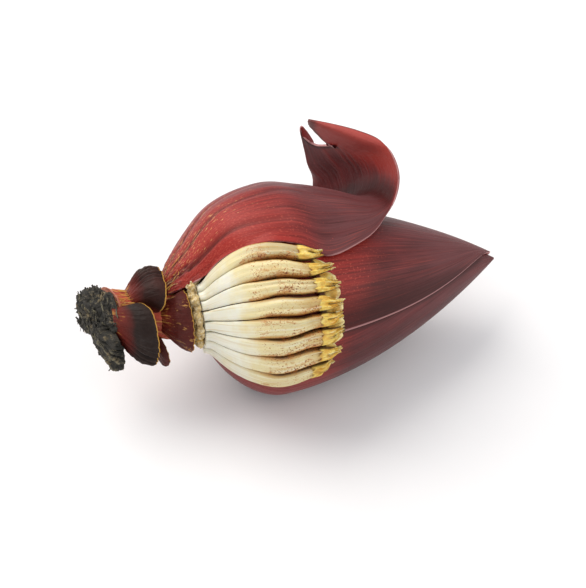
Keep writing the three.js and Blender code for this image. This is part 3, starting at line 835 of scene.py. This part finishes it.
def flower_lips(k, rng):
    """The ends of the petals: two fleshy lobes, folded lengthwise, that draw together to a point."""
    length = flower_length(k)
    u, v = ring_grid(*MESH["lip"])
    slant = rng.uniform(-1.2, 1.2)
    turned = np.cos(2 * math.pi * v)
    begin = length - LIP["from"] + slant * turned
    begin = begin + 0.9 * noise_line(turned, 4.0, k) + 0.6 * np.sin(9 * turned + k)
    s = mix(begin, length + LIP["past"] + rng.uniform(-0.6, 1.2), u)
    inside = np.minimum(s, length + 0.4)
    closing = ease(inside, 0.86 * length, length)
    high = mix(hand_top(inside), hand_floor(inside) + 2.2, closing ** 1.6) + 0.1 * ease(u, 0, 0.12)
    narrow = mix(0.93, 0.42, ease(u, 0.1, 1.05) ** 1.3)
    psi, r, side, up, half_width = flower_section(k, inside, v, narrow, 0.75, high)
    psi = psi + rng.uniform(-2.5, 2.5) * u ** 2
    parting = rng.uniform(-0.25, 0.3)
    parted = ease(u, 0.12, 0.6)
    phase = rng.uniform(0, 6)
    folds = 0.55 * np.sin(9 * side + 2.2 * u + phase) + 0.3 * np.sin(17 * side - 3 * u + 2 * phase)
    lobes = 1.7 * hump(side, parting + 0.25 * u, 0.13) + 0.9 * hump(side, parting - 0.62, 0.09)
    relief = folds * (0.35 + 0.65 * parted) - lobes * parted + 0.6 * hump(u, 0.45, 0.25)
    r = np.maximum(r + relief * np.maximum(0, up + 0.2), skin(inside, -2) + 0.3)
    points = place(s + 0.9 * parted * np.sin(5 * side + phase), psi, r)
    crumple = bumps(points, 2.0, 7.0 * k, 3)[..., None]
    points = points + crumple * 0.6 * parted[..., None] * np.array([0.5, -0.6, 0.6])
    # Painted shade: darker at the sides and along the crease where the lobes part.
    groove = np.maximum(ease(np.abs(side), 0.75, 1.0), hump(side, parting + 0.25 * u, 0.1) * parted)
    # pale is highest on the crests of the folds: painted highlight, and dried tissue.
    lobe = part_of((points, closed_loft(*MESH["lip"])), flower_lay(k, s, side * half_width),
                   groove=groove, stain=ease(u, 0.22, 0.0), pale=ease(folds, 0.3, 0.8) * parted)
    return [lobe] + lip_threads(k, points, rng)


def lip_threads(k, points, rng):
    """Torn threads at the very end of the lips, as small spikes."""
    rings, sides = MESH["lip"]
    threads = []
    for _ in range(rng.randint(5, 8)):
        ring, column = rng.randint(int(rings * 0.82), rings - 1), rng.randint(2, sides // 2 - 2)
        heading = points[ring, column] - points[ring - 12, column]
        astray = np.array([0.25, rng.uniform(-0.7, 0.3), rng.uniform(-0.1, 0.8)])
        heading = heading / np.linalg.norm(heading) + astray
        spike = strand(points[ring, column], heading, rng.uniform(1.6, 3.0), rng.uniform(0.3, 0.5), rng)
        threads.append(part_of(spike, flower_lay(k, 0.0, 0.0), groove=rng.choice([0.0, 0.5]), stain=0.0,
                               pale=rng.choice([0.4, 1.0])))
    return threads


def build_hand(petal, lip, sizes):
    rng = random.Random(sizes.seed)
    for k in range(HAND["count"]):
        tube = make_joined(f"flower_tube_{k + 1}", [flower_tube(k, rng)], petal)
        settle(tube, "flower", f"flower_{k + 1}")
        lips = make_joined(f"flower_lips_{k + 1}", flower_lips(k, rng), lip)
        settle(lips, "flower")


def build_second_row(lip):
    """Slivers of the row behind, which show between the tips of the first."""
    count = HAND["count"] - 1
    mesh = (BEHIND["rows"], count * FLOWER_COLUMNS)
    u, v = grid(*mesh)
    wave = np.abs(np.sin(math.pi * count * v))
    s = mix(BEHIND["from"], flower_length(HAND["count"] * v - 0.5) + 0.2 + 2.6 * wave, u)
    psi = mix(hand_angle(0.5, s), hand_angle(HAND["count"] - 0.5, s), v)
    points = place(s, psi, skin(s, -2) + GAP + BEHIND["thick"] + 1.0 * wave)
    points = points + bumps(points, 2.2, 3.0)[..., None] * np.array([0.2, -0.3, 0.3])
    # groove darkens the slivers toward their roots, deep between the first row's tips: painted shade.
    marks = {"groove": ease(u, 0.5, 0.1), "stain": ease(u, 0.5, 0.2), "pale": ease(u, 0.7, 1.0)}
    row = make_piece("flower_row_behind", points, grid_faces(*mesh, flip=True), [lip], marks, (s, psi),
                     {"thick": BEHIND["thick"], "share": 1.0})
    settle(row, "flower", "flower_second_row")


def build_covered_hand(petal):
    """The next hand of flowers, as one ribbed sheet under the curled bract."""
    mesh = (COVERED["rows"], COVERED["count"] * FLOWER_COLUMNS)
    u, v = grid(*mesh)
    wave = np.abs(np.sin(math.pi * COVERED["count"] * v))
    s = mix(0, COVERED["to"] + 2.5 * wave, u ** 1.35)
    psi = mix(COVERED["start"], COVERED["end"], v)
    height = COVERED["edge"] + COVERED["bulge"] * (1 - (2 * v - 1) ** 2) * ease(s, 0, 20)
    floor = np.maximum(skin(s, -3), COVERED["root"])
    points = place(s, psi, floor + height * (1 - 0.45 * ease(u, 0.8, 1)) + 0.8 * wave)
    # Painted shade: darker between the flowers, and greyer, as the hand lies under the curled bract.
    marks = {"ripe": s / 50, "groove": ease(wave, 0.3, 0.0), "stain": 0.6 * ease(s, 14, 32), "dull": 0.3}
    hand = make_piece("flower_hand_under_bract", points, grid_faces(*mesh), [petal], marks, (s, psi),
                      {"thick": COVERED["thick"], "share": 1.0})
    settle(hand, "flower", "flower_hand_covered")


# ---- Pieces: crown, stalk, stubs ------------------------------------------------------------

def on_stalk(s, psi, r):
    """Bud coordinates on the stalk, which bends up and to the far side, away from the bud's axis."""
    bend = np.maximum(0, (5 - s) / (5 - CUT["face"])) ** 1.1
    point = place(s, psi, r)
    point[..., 2] += STALK["rise"] * bend
    point[..., 1] += STALK["away"] * bend
    return point


def stalk_radius(s):
    return np.minimum(NECK, STALK["radius"] + STALK["swell"] * ease(s, -34, -8) + 0.4 * np.sin(s / 4))


def slanted(s, slant, psi, r):
    return s + slant * r * np.cos(np.radians(psi - CUT["toward"]))


def build_crown(colours, sizes):
    u, v = grid(*MESH["crown"])
    psi = mix(CROWN["start"], CROWN["end"], v)
    s = mix(CROWN["from"], CROWN["to"] + 5 * hump(psi, -12, 9), u)
    lump = 0.9 * np.sin(37 * v) + 0.6 * np.sin(83 * v + 2 * u) + CROWN["lump"] * hump(psi, -15, 9)
    rounded = np.sin(math.pi * mix(0.12, 0.88, u)) ** 0.5
    ends = np.minimum(1, np.minimum(8 * v, 8 * (1 - v)))
    high = mix(CROWN["inner"] + 1.5, CROWN["outer"] - 2 * (1 - u) + lump, rounded * ends)
    crumbs = bumps(on_stalk(s, psi, high), 2.2, 1.0, 4)
    pits = np.maximum(0, bumps(on_stalk(s, psi, high), 3.4, 6.0, 2) - 0.12)
    high = high + sizes.cork_lump / MM * (crumbs - 2.5 * pits * rounded)
    s = s + 0.7 * bumps(on_stalk(s, psi, high), 3.0, 8.0, 3)
    top = on_stalk(s, psi, high)
    low = on_stalk(s, psi, CROWN["inner"] + 0 * high)
    share = np.clip(np.linalg.norm(top - low, axis=-1) / 5.5, 0.2, 1)
    crown = make_piece("flower_cork_cushion", top, grid_faces(*MESH["crown"], flip=True), [dry_cork(colours)],
                       {"pit": pits}, (s, psi), {"thick": CROWN["thick"], "share": share})
    settle(crown, "crown", "flower_crown")


def build_stalk(colours):
    u, v = ring_grid(*MESH["stalk"])
    near = slanted(CUT["back"] + GAP, CUT["back_slant"] * (1 - u), 360 * v, STALK["radius"])
    s = mix(near, STALK["to"], u)
    r = stalk_radius(s) + 0.2 * np.sin(14 * math.pi * v)
    drawn_out = on_stalk(s, 360 * v, r) * np.array([0.25, 1, 1])
    r = r + 0.55 * bumps(drawn_out, 2.2, 4.0, 3) + 0.9 * hump(u, 0.0, 0.035)
    stalk = make_piece("stalk_fibrous", on_stalk(s, 360 * v, r), closed_loft(*MESH["stalk"]),
                       [fibrous_tissue(colours)], {"skin": ease(u, 0.06, 0.0)},
                       (s, v * 2 * math.pi * STALK["radius"]))
    settle(stalk, "stalk", "stalk")


def cut_surface(u, v):
    """Bud coordinates on the cut end: from the middle of its face out to the edge, then back."""
    turn = 2 * math.pi * v
    rough = 0.6 * np.sin(5 * turn + 9 * u) + 0.4 * np.sin(11 * turn + 17 * u)
    out = np.minimum(1, u / CUT["edge"])
    back = np.clip((u - CUT["edge"]) / (1 - CUT["edge"]), 0, 1)
    r = (CUT["radius"] + rough * out) * np.maximum(out, 0.02) * (1 - 0.1 * ease(back, 0.6, 1))
    face = slanted(CUT["face"] - 1.2 * (1 - out ** 2), CUT["slant"], 360 * v, r)
    rear = slanted(CUT["back"], CUT["back_slant"], 360 * v, r)
    return mix(face, rear, back), 360 * v, r, back


def build_cut_end(colours, sizes):
    u, v = ring_grid(*MESH["cut"])
    s, psi, r, back = cut_surface(u, v)
    points = on_stalk(s, psi, r)
    # Dried fibres run down over the face, so the relief is drawn out from its top to its foot.
    drawn = np.stack([points[..., 0], points[..., 1] * 0.5 + points[..., 2] * 0.28, points[..., 1] * 0.9], -1)
    ridged = 0.5 - np.abs(bumps(drawn, 2.1, 9.0, 4))
    relief = sizes.char_relief / MM * (1.2 * ridged + 1.1 * bumps(points, 6.0, 5.0, 3))
    relief = relief * ease(back, 1.0, 0.75) * mix(1.0, 0.55, ease(u, 0.25, 0.42))
    points = on_stalk(s - relief * (1 - back), psi, r + 0.8 * relief * ease(u, 0.2, 0.5))
    charred = charred_cut(colours)
    # Darker in the valleys of the relief: painted shade in its cracks.
    cut = make_piece("stalk_cut_face", points, closed_loft(*MESH["cut"]), [charred],
                     {"crack": np.maximum(0, 0.25 - ridged)}, (s, v * 2 * math.pi * CUT["radius"]))
    settle(cut, "cut", "stalk_cut_end")
    rng = random.Random(sizes.seed + 1)
    strands = [cut_strand(number < FIBRES["loose"], rng) for number in range(FIBRES["cut"])]
    settle(make_joined("stalk_cut_fibres", strands, charred), "cut")


def char_strand(start, heading, length, width, rng):
    """A blackened fibre; some are cracked, and some are pale."""
    form = strand(start, heading, length, width, rng)
    return part_of(form, (0.0, 0.0), crack=rng.choice([0.0, 0.0, 0.1, -0.12]))


def cut_strand(loose, rng):
    """A fibre that runs down over the cut face; a loose one stands out from its edge."""
    at_u = CUT["edge"] if loose else rng.uniform(0.04, 0.62)
    at_v = rng.uniform(0.5, 0.8) if loose else rng.random()
    s, psi, r = [np.array(value) for value in cut_surface(np.array(at_u), np.array(at_v))[:3]]
    start = on_stalk(s - 0.35, psi, r + (0.2 if at_u > 0.36 else 0))
    outward = start - on_stalk(s + 2, psi, 0 * r)
    down = np.array([rng.uniform(-0.25, 0.5), rng.uniform(-1.2, -0.3), rng.uniform(-1.1, -0.2)])
    if loose:
        heading = outward / np.linalg.norm(outward) + 0.25 * down
        return char_strand(start, heading, rng.uniform(2.5, 4.5), rng.uniform(0.16, 0.24), rng)
    return char_strand(start, down, rng.uniform(2.5, 7), rng.uniform(0.2, 0.5), rng)


def low_base_strand(points, rng):
    """A fibre that runs down over the low base, which is a grid of points."""
    rows, columns = points.shape[:2]
    row = rng.randint(2, int(rows * 0.6))
    column = rng.randint(int(columns * 0.15), int(columns * 0.85))
    heading = points[row + 8, column] - points[row, column]
    astray = np.array([rng.uniform(-0.2, 0.35), 0, rng.uniform(-0.15, 0.2)])
    heading = heading / np.linalg.norm(heading) + astray
    return char_strand(points[row, column], heading, rng.uniform(2, 4.5), rng.uniform(0.2, 0.5), rng)


def stub_surface(number, stub, u, v):
    """Bud coordinates on a bract base, and the fields that its thickness and its finish follow."""
    charred = stub["name"] == "low"
    across = 2 * v - 1
    hug = np.sqrt(np.maximum(0, 1 - np.abs(across) ** 3))
    ragged = 0.5 * noise_line(across, 11.0, number)
    s = mix(stub["from"], stub["to"] - stub["back"] * (1 - hug) + ragged, u)
    psi = stub["psi"] + stub["half"] * mix(stub["root"], 1, u) * across
    base = (CUT["radius"] if charred else stalk_radius(s)) - 0.6
    swell = hug * np.sin(0.6 * math.pi * u)
    high = mix(base, stub["rim"] + STUB["lean"] * across, swell)
    # Pleats run from the root to the rim, on the part of the base where it dried in folds.
    folded = ease(psi, *stub["pleats"]) * ease(u, 0.06, 0.4) * hug
    phase = psi / STUB["pitch"] + 0.5 * np.sin(2.2 * u + number) + 0.35 * noise_line(across, 5.0, number + 9)
    pleat = 1 - 2 * np.abs((phase % 1) - 0.5) ** 0.8
    high = high + stub["pleat"] * (pleat - 0.5) * folded
    lumps = bumps(on_stalk(s, psi, high), 4.5, 2.0 * number, 4) * (2.2 if charred else 0.45)
    high = high + lumps * hug * ease(u, 0.0, 0.3)
    if charred:
        # A web of the same charred tissue joins it to the cut face.
        web = np.minimum(1, u / STUB["web"])
        s = mix(slanted(CUT["face"], CUT["slant"], psi, STUB["inside"]) + 1, s, web)
        high = mix(STUB["inside"], high, web)
    return s, psi, high, {"across": across, "hug": hug, "swell": swell, "pleat": pleat, "folded": folded,
                          "lumps": lumps}


def hide_marks(stub, u, fields):
    """Where a dried base is orange at its root, how fresh it is, where its pleats get a painted highlight on
    their ridges and painted shade in their grooves, and its torn edge.
    """
    rooted = np.maximum(ease(u, 0.62, 0.04), 0.7 * ease(fields["hug"], 0.5, 0.1))
    root = 0.3 * ease(fields["across"], -0.3, -0.85) * ease(u, 0.9, 0.2) + stub["amber"] * rooted
    return {
        "root": np.minimum(0.72, root), "fresh": stub["fresh"],
        "ridge": (fields["pleat"] - 0.5) * fields["folded"],
        "torn": ease(u, 0.955, 0.985) * ease(fields["hug"], 0.15, 0.4),
    }


def char_marks(fields):
    # Painted shade in the pleats' grooves and the hollows of the lumps, and a painted highlight in fibre
    # colour on the lumps' crests.
    return {"crack": np.maximum(0.35 * (0.4 - fields["pleat"]) * fields["folded"], -0.12 * fields["lumps"])}


def build_stubs(colours, sizes):
    hide = [dried_hide(colours), torn_rim(colours)]
    charred = charred_cut(colours)
    u, v = grid(*MESH["stub"])
    for number, stub in enumerate(STUBS):
        low = stub["name"] == "low"
        s, psi, high, fields = stub_surface(number, stub, u, v)
        points = on_stalk(s, psi, high)
        if low:
            rng = random.Random(sizes.seed + 3)
            strands = [low_base_strand(points, rng) for _ in range(FIBRES["low"])]
            settle(make_joined("bract_base_low_fibres", strands, charred), "stub")
        marks = char_marks(fields) if low else hide_marks(stub, u, fields)
        share = mix(0.3, 1.0, fields["swell"]) * mix(1.0, 0.35, ease(u, 0.85, 1))
        base = make_piece(f"bract_base_{stub['name']}", points, grid_faces(*MESH["stub"], flip=True),
                          [charred] if low else hide, marks, (s, np.radians(psi) * STUB["around"]),
                          {"thick": STUB["sheet"], "share": share, "rim": 0 if low else 1})
        settle(base, "stub", f"bract_stub_{stub['name']}")


def build_fibres(colours, sizes):
    """Torn fibres that lie on the stalk and on the base of the curled bract."""
    rng = random.Random(sizes.seed + 2)
    t = np.linspace(0, 1, 12)
    threads = []
    for number in range(FIBRES["neck"] + FIBRES["bract"]):
        if number < FIBRES["neck"]:
            s = rng.uniform(-41, -29) + rng.uniform(3, 8) * t
            psi = rng.uniform(-60, 75) + rng.uniform(-9, 9) * t + rng.uniform(-4, 4) * np.sin(5 * t)
            path = on_stalk(s, psi, stalk_radius(s) + 0.5)
        else:
            u = rng.uniform(0.0, 0.08) * rng.random() + rng.uniform(0.01, 0.035) * t
            v = rng.uniform(0.01, 0.5) + rng.uniform(-0.03, 0.03) * t
            v = v + rng.uniform(-0.01, 0.01) * np.sin(6 * t)
            s, psi, r = curled_surface(u, v)
            path = place(s, psi, r + rng.uniform(0.1, 0.6))
        threads.append(part_of(tube_along(path, rng.uniform(0.08, 0.18)), (5.0 * number, 0.0)))
    settle(make_joined("stalk_loose_fibres", threads, torn_rim(colours)), "stalk")


# ---- The stage -----------------------------------------------------------------------------

CAMERA = {"azimuth": -19.0478, "elevation": 43.6689, "lens": 87.56, "film": 36,
          "place": (-0.16668, -0.48548, 0.52506)}
SOFT_BOXES = [
    {"name": "soft box, back left", "place": (-0.6, 0.7, 1.2), "size": 1.5, "share": 1.0},
    {"name": "soft box, front right", "place": (0.9, -0.7, 0.8), "size": 1.2, "share": 0.25},
]
AIM = Vector((0, 0, 0.05))      # where the soft boxes point, in metres, as the places here are


def build_stage(colours, sizes):
    scene = bpy.context.scene
    scene.view_settings.view_transform = "Standard"
    build_floor(scene, colours, sizes)
    build_lights(scene, sizes)
    build_camera(scene)


def build_floor(scene, colours, sizes):
    mesh = bpy.data.meshes.new("floor")
    half = sizes.floor / 2
    corners = [(-half, -half, 0), (half, -half, 0), (half, half, 0), (-half, half, 0)]
    mesh.from_pydata(corners, [], [(0, 1, 2, 3)])
    mesh.materials.append(studio_paper(colours))
    floor = bpy.data.objects.new("floor", mesh)
    scene.collection.objects.link(floor)


def build_lights(scene, sizes):
    world = bpy.data.worlds.new("studio")
    scene.world = world
    world.use_nodes = True
    sky = world.node_tree.nodes["Background"]
    sky.inputs["Color"].default_value = linear("#f6f7fa")
    sky.inputs["Strength"].default_value = sizes.sky
    for box in SOFT_BOXES:
        lamp = bpy.data.lights.new(box["name"], "AREA")
        lamp.size = box["size"]
        lamp.energy = box["share"] * sizes.lamp
        lamp.color = linear("#fffaf2")[:3]
        holder = bpy.data.objects.new(box["name"], lamp)
        holder.location = box["place"]
        holder.rotation_euler = (AIM - Vector(box["place"])).to_track_quat("-Z", "Y").to_euler()
        scene.collection.objects.link(holder)


def build_camera(scene):
    lens = bpy.data.cameras.new("camera")
    lens.lens = CAMERA["lens"]
    lens.sensor_width = CAMERA["film"]
    lens.clip_end = 20
    camera = bpy.data.objects.new("camera", lens)
    camera.location = CAMERA["place"]
    camera.rotation_euler = (math.radians(90 - CAMERA["elevation"]), 0, math.radians(CAMERA["azimuth"]))
    scene.collection.objects.link(camera)
    scene.camera = camera


# ---- The add-on ----------------------------------------------------------------------------

def length_prop(name, description, default):
    return bpy.props.FloatProperty(name=name, description=description, default=default, min=0.0,
                                   unit="LENGTH")


class BlossomSizes(bpy.types.PropertyGroup):
    """Sizes that a user would change."""
    vein_spacing: length_prop("Vein spacing", "Distance between the fine veins of a bract", 0.0009)
    cork_lump: length_prop("Cork lumps", "Height of the lumps of the cork cushion", 0.0008)
    char_relief: length_prop("Cut relief", "Depth of the cracks of the dried cut", 0.0017)
    floor: length_prop("Floor", "Side of the floor", 8.0)
    sky: bpy.props.FloatProperty(name="Sky", description="Strength of the even light", default=0.68, min=0.0)
    lamp: bpy.props.FloatProperty(name="Soft box", description="Power of the main soft box", default=21.0,
                                  min=0.0, unit="POWER")
    seed: bpy.props.IntProperty(name="Seed", description="Start of the random draws", default=7)


PAINTS = {
    "bract": ("Waxy skin of the bracts", "#642829"),
    "bract_dark": ("Veins and shaded folds", "#32100f"),
    # Rubbed skin, also used for painted light on the lit parts of the bracts.
    "bract_red": ("Skin where the wax is rubbed off", "#a02d26"),
    # Greyish wax, also used for painted sheen and highlights.
    "bract_bloom": ("Greyish wax", "#6a4143"),
    "bract_glow": ("Fine light specks", "#bb5040"),
    "bract_fleck": ("Orange flecks near the base", "#db9c66"),
    "bract_inner": ("Smooth inner face", "#8a1a18"),
    # Dried margin, also used for the painted highlight along the edges of the bracts.
    "bract_margin": ("Dried margin", "#b98483"),
    "petal_white": ("Root of the flowers", "#ebe8d6"),
    "petal_cream": ("Lower half of the flowers", "#e3d5a3"),
    "petal_tan": ("Upper half of the flowers", "#ccb176"),
    "petal_ripe": ("Ends of the flowers", "#c9a660"),
    # Painted shade on the flowers under the curled bract and on the lowest flower.
    "petal_dull": ("Greyed flowers at the sides", "#b3a37c"),
    # Smears and browning, also used for painted shade along the flowers' edges.
    "petal_ochre": ("Smears and edges", "#b98736"),
    # Painted shade in the depth of the grooves.
    "petal_dark": ("Depth of the grooves", "#4a2d12"),
    "rust": ("Bruise specks", "#b8742f"),
    "rust_dark": ("Old bruise specks", "#6b2f1c"),
    "lip": ("Crumpled ends of the flowers", "#ecce66"),
    "lip_deep": ("Deeper yellow", "#d9a53c"),
    # Dry edges, also used for painted highlights on the crests of the lips' folds.
    "lip_pale": ("Dry edges of the lips", "#f7e9ac"),
    "cork": ("Cork cushion", "#cdb37c"),
    "cork_yellow": ("Yellow patches", "#d0a94c"),
    "cork_pale": ("Pale crumbs", "#e6d9b8"),
    "cork_dark": ("Pits in the cork", "#6a4a28"),
    "stalk": ("Red tissue", "#b8452c"),
    "stalk_dark": ("Darker tissue", "#7a2a20"),
    "stalk_orange": ("Orange tissue", "#cf6a30"),
    "stalk_pink": ("Skin at the cut", "#b9735a"),
    "fibre": ("Yellow fibres", "#e2ab52"),
    "fibre_brown": ("Scraped fibres", "#bf8c4a"),
    "char": ("Dried cut face", "#2a2721"),
    "char_grey": ("Grey patches", "#46423a"),
    # Fibre ends, also used for the painted highlight on the low base's lumps.
    "char_fibre": ("Fibre ends", "#8a8268"),
    "char_tan": ("Tan patches", "#9c8a68"),
    # Cracks, also used for painted shade in the hollows of the low base.
    "char_dark": ("Cracks", "#15150f"),
    "stub": ("Dried bract bases", "#22140f"),
    "stub_grey": ("Dull patches", "#382b26"),
    # Painted highlight on the ridges of the pleats.
    "stub_ridge": ("Ridges of the pleats", "#4a3b35"),
    "stub_maroon": ("Fresher bases", "#561b15"),
    # Cracks, also used for painted shade in the grooves of the pleats.
    "stub_black": ("Cracks", "#140d0c"),
    "rim": ("Torn rims", "#cc9a46"),
    "floor": ("Studio paper", "#f4f4f6"),
}


class BlossomColours(bpy.types.PropertyGroup):
    """Colours that a user would change."""
    __annotations__ = {
        key: bpy.props.FloatVectorProperty(name=key.replace("_", " ").capitalize(), description=description,
                                           default=linear(code), size=4, subtype="COLOR", min=0.0, max=1.0)
        for key, (description, code) in PAINTS.items()
    }


class BLOSSOM_OT_bud(bpy.types.Operator):
    """Builds the closed bud: the inner leaves and the two bracts wrapped round them"""
    bl_idname = "blossom.bud"
    bl_label = "Bud"

    def execute(self, context):
        scene = context.scene
        finishes = bract_finishes(scene.blossom_colours, scene.blossom_sizes)
        build_core(finishes)
        build_under_wrap(finishes)
        build_upper_wrap(finishes)
        return {"FINISHED"}


class BLOSSOM_OT_curled_bract(bpy.types.Operator):
    """Builds the outer bract that has opened and rolled back"""
    bl_idname = "blossom.curled_bract"
    bl_label = "Curled Bract"

    def execute(self, context):
        build_curled_bract(context.scene.blossom_colours, context.scene.blossom_sizes)
        return {"FINISHED"}


class BLOSSOM_OT_flowers(bpy.types.Operator):
    """Builds the hand of flowers, the row behind it and the hand under the curled bract"""
    bl_idname = "blossom.flowers"
    bl_label = "Flowers"

    def execute(self, context):
        scene = context.scene
        petal, lip = waxy_petal(scene.blossom_colours), drying_lip(scene.blossom_colours)
        build_hand(petal, lip, scene.blossom_sizes)
        build_second_row(lip)
        build_covered_hand(petal)
        return {"FINISHED"}


class BLOSSOM_OT_crown(bpy.types.Operator):
    """Builds the cork cushion that the flowers stand in"""
    bl_idname = "blossom.crown"
    bl_label = "Cork Cushion"

    def execute(self, context):
        build_crown(context.scene.blossom_colours, context.scene.blossom_sizes)
        return {"FINISHED"}


class BLOSSOM_OT_stalk(bpy.types.Operator):
    """Builds the fibrous stalk"""
    bl_idname = "blossom.stalk"
    bl_label = "Stalk"

    def execute(self, context):
        build_stalk(context.scene.blossom_colours)
        return {"FINISHED"}


class BLOSSOM_OT_cut_end(bpy.types.Operator):
    """Builds the dried cut end of the stalk and its loose fibres"""
    bl_idname = "blossom.cut_end"
    bl_label = "Cut End"

    def execute(self, context):
        build_cut_end(context.scene.blossom_colours, context.scene.blossom_sizes)
        return {"FINISHED"}


class BLOSSOM_OT_stubs(bpy.types.Operator):
    """Builds the dried bases that fallen bracts left on the stalk"""
    bl_idname = "blossom.stubs"
    bl_label = "Bract Bases"

    def execute(self, context):
        build_stubs(context.scene.blossom_colours, context.scene.blossom_sizes)
        return {"FINISHED"}


class BLOSSOM_OT_fibres(bpy.types.Operator):
    """Builds the torn fibres on the stalk and the base of the curled bract"""
    bl_idname = "blossom.fibres"
    bl_label = "Loose Fibres"

    def execute(self, context):
        build_fibres(context.scene.blossom_colours, context.scene.blossom_sizes)
        return {"FINISHED"}


class BLOSSOM_OT_stage(bpy.types.Operator):
    """Builds the floor, the lights and the camera"""
    bl_idname = "blossom.stage"
    bl_label = "Stage"

    def execute(self, context):
        build_stage(context.scene.blossom_colours, context.scene.blossom_sizes)
        return {"FINISHED"}


STEPS = (BLOSSOM_OT_stage, BLOSSOM_OT_bud, BLOSSOM_OT_curled_bract, BLOSSOM_OT_flowers,
         BLOSSOM_OT_crown, BLOSSOM_OT_stalk, BLOSSOM_OT_cut_end, BLOSSOM_OT_stubs,
         BLOSSOM_OT_fibres)


class BLOSSOM_PT_panel(bpy.types.Panel):
    """Lists the steps, the sizes and the colours"""
    bl_idname = "BLOSSOM_PT_panel"
    bl_label = "Banana Blossom"
    bl_space_type = "VIEW_3D"
    bl_region_type = "UI"
    bl_category = "Blossom"

    def draw(self, context):
        for step in STEPS:
            self.layout.operator(step.bl_idname)
        for group in (context.scene.blossom_sizes, context.scene.blossom_colours):
            column = self.layout.column()
            for key in group.bl_rna.properties.keys():
                if key not in ("rna_type", "name"):
                    column.prop(group, key)


CLASSES = (BlossomSizes, BlossomColours) + STEPS + (BLOSSOM_PT_panel,)


def register():
    for one in CLASSES:
        bpy.utils.register_class(one)
    bpy.types.Scene.blossom_sizes = bpy.props.PointerProperty(type=BlossomSizes)
    bpy.types.Scene.blossom_colours = bpy.props.PointerProperty(type=BlossomColours)


def unregister():
    del bpy.types.Scene.blossom_sizes
    del bpy.types.Scene.blossom_colours
    for one in reversed(CLASSES):
        bpy.utils.unregister_class(one)


def main():
    register()
    for step in STEPS:
        area, name = step.bl_idname.split(".")
        getattr(getattr(bpy.ops, area), name)()


if __name__ == "__main__":
    main()
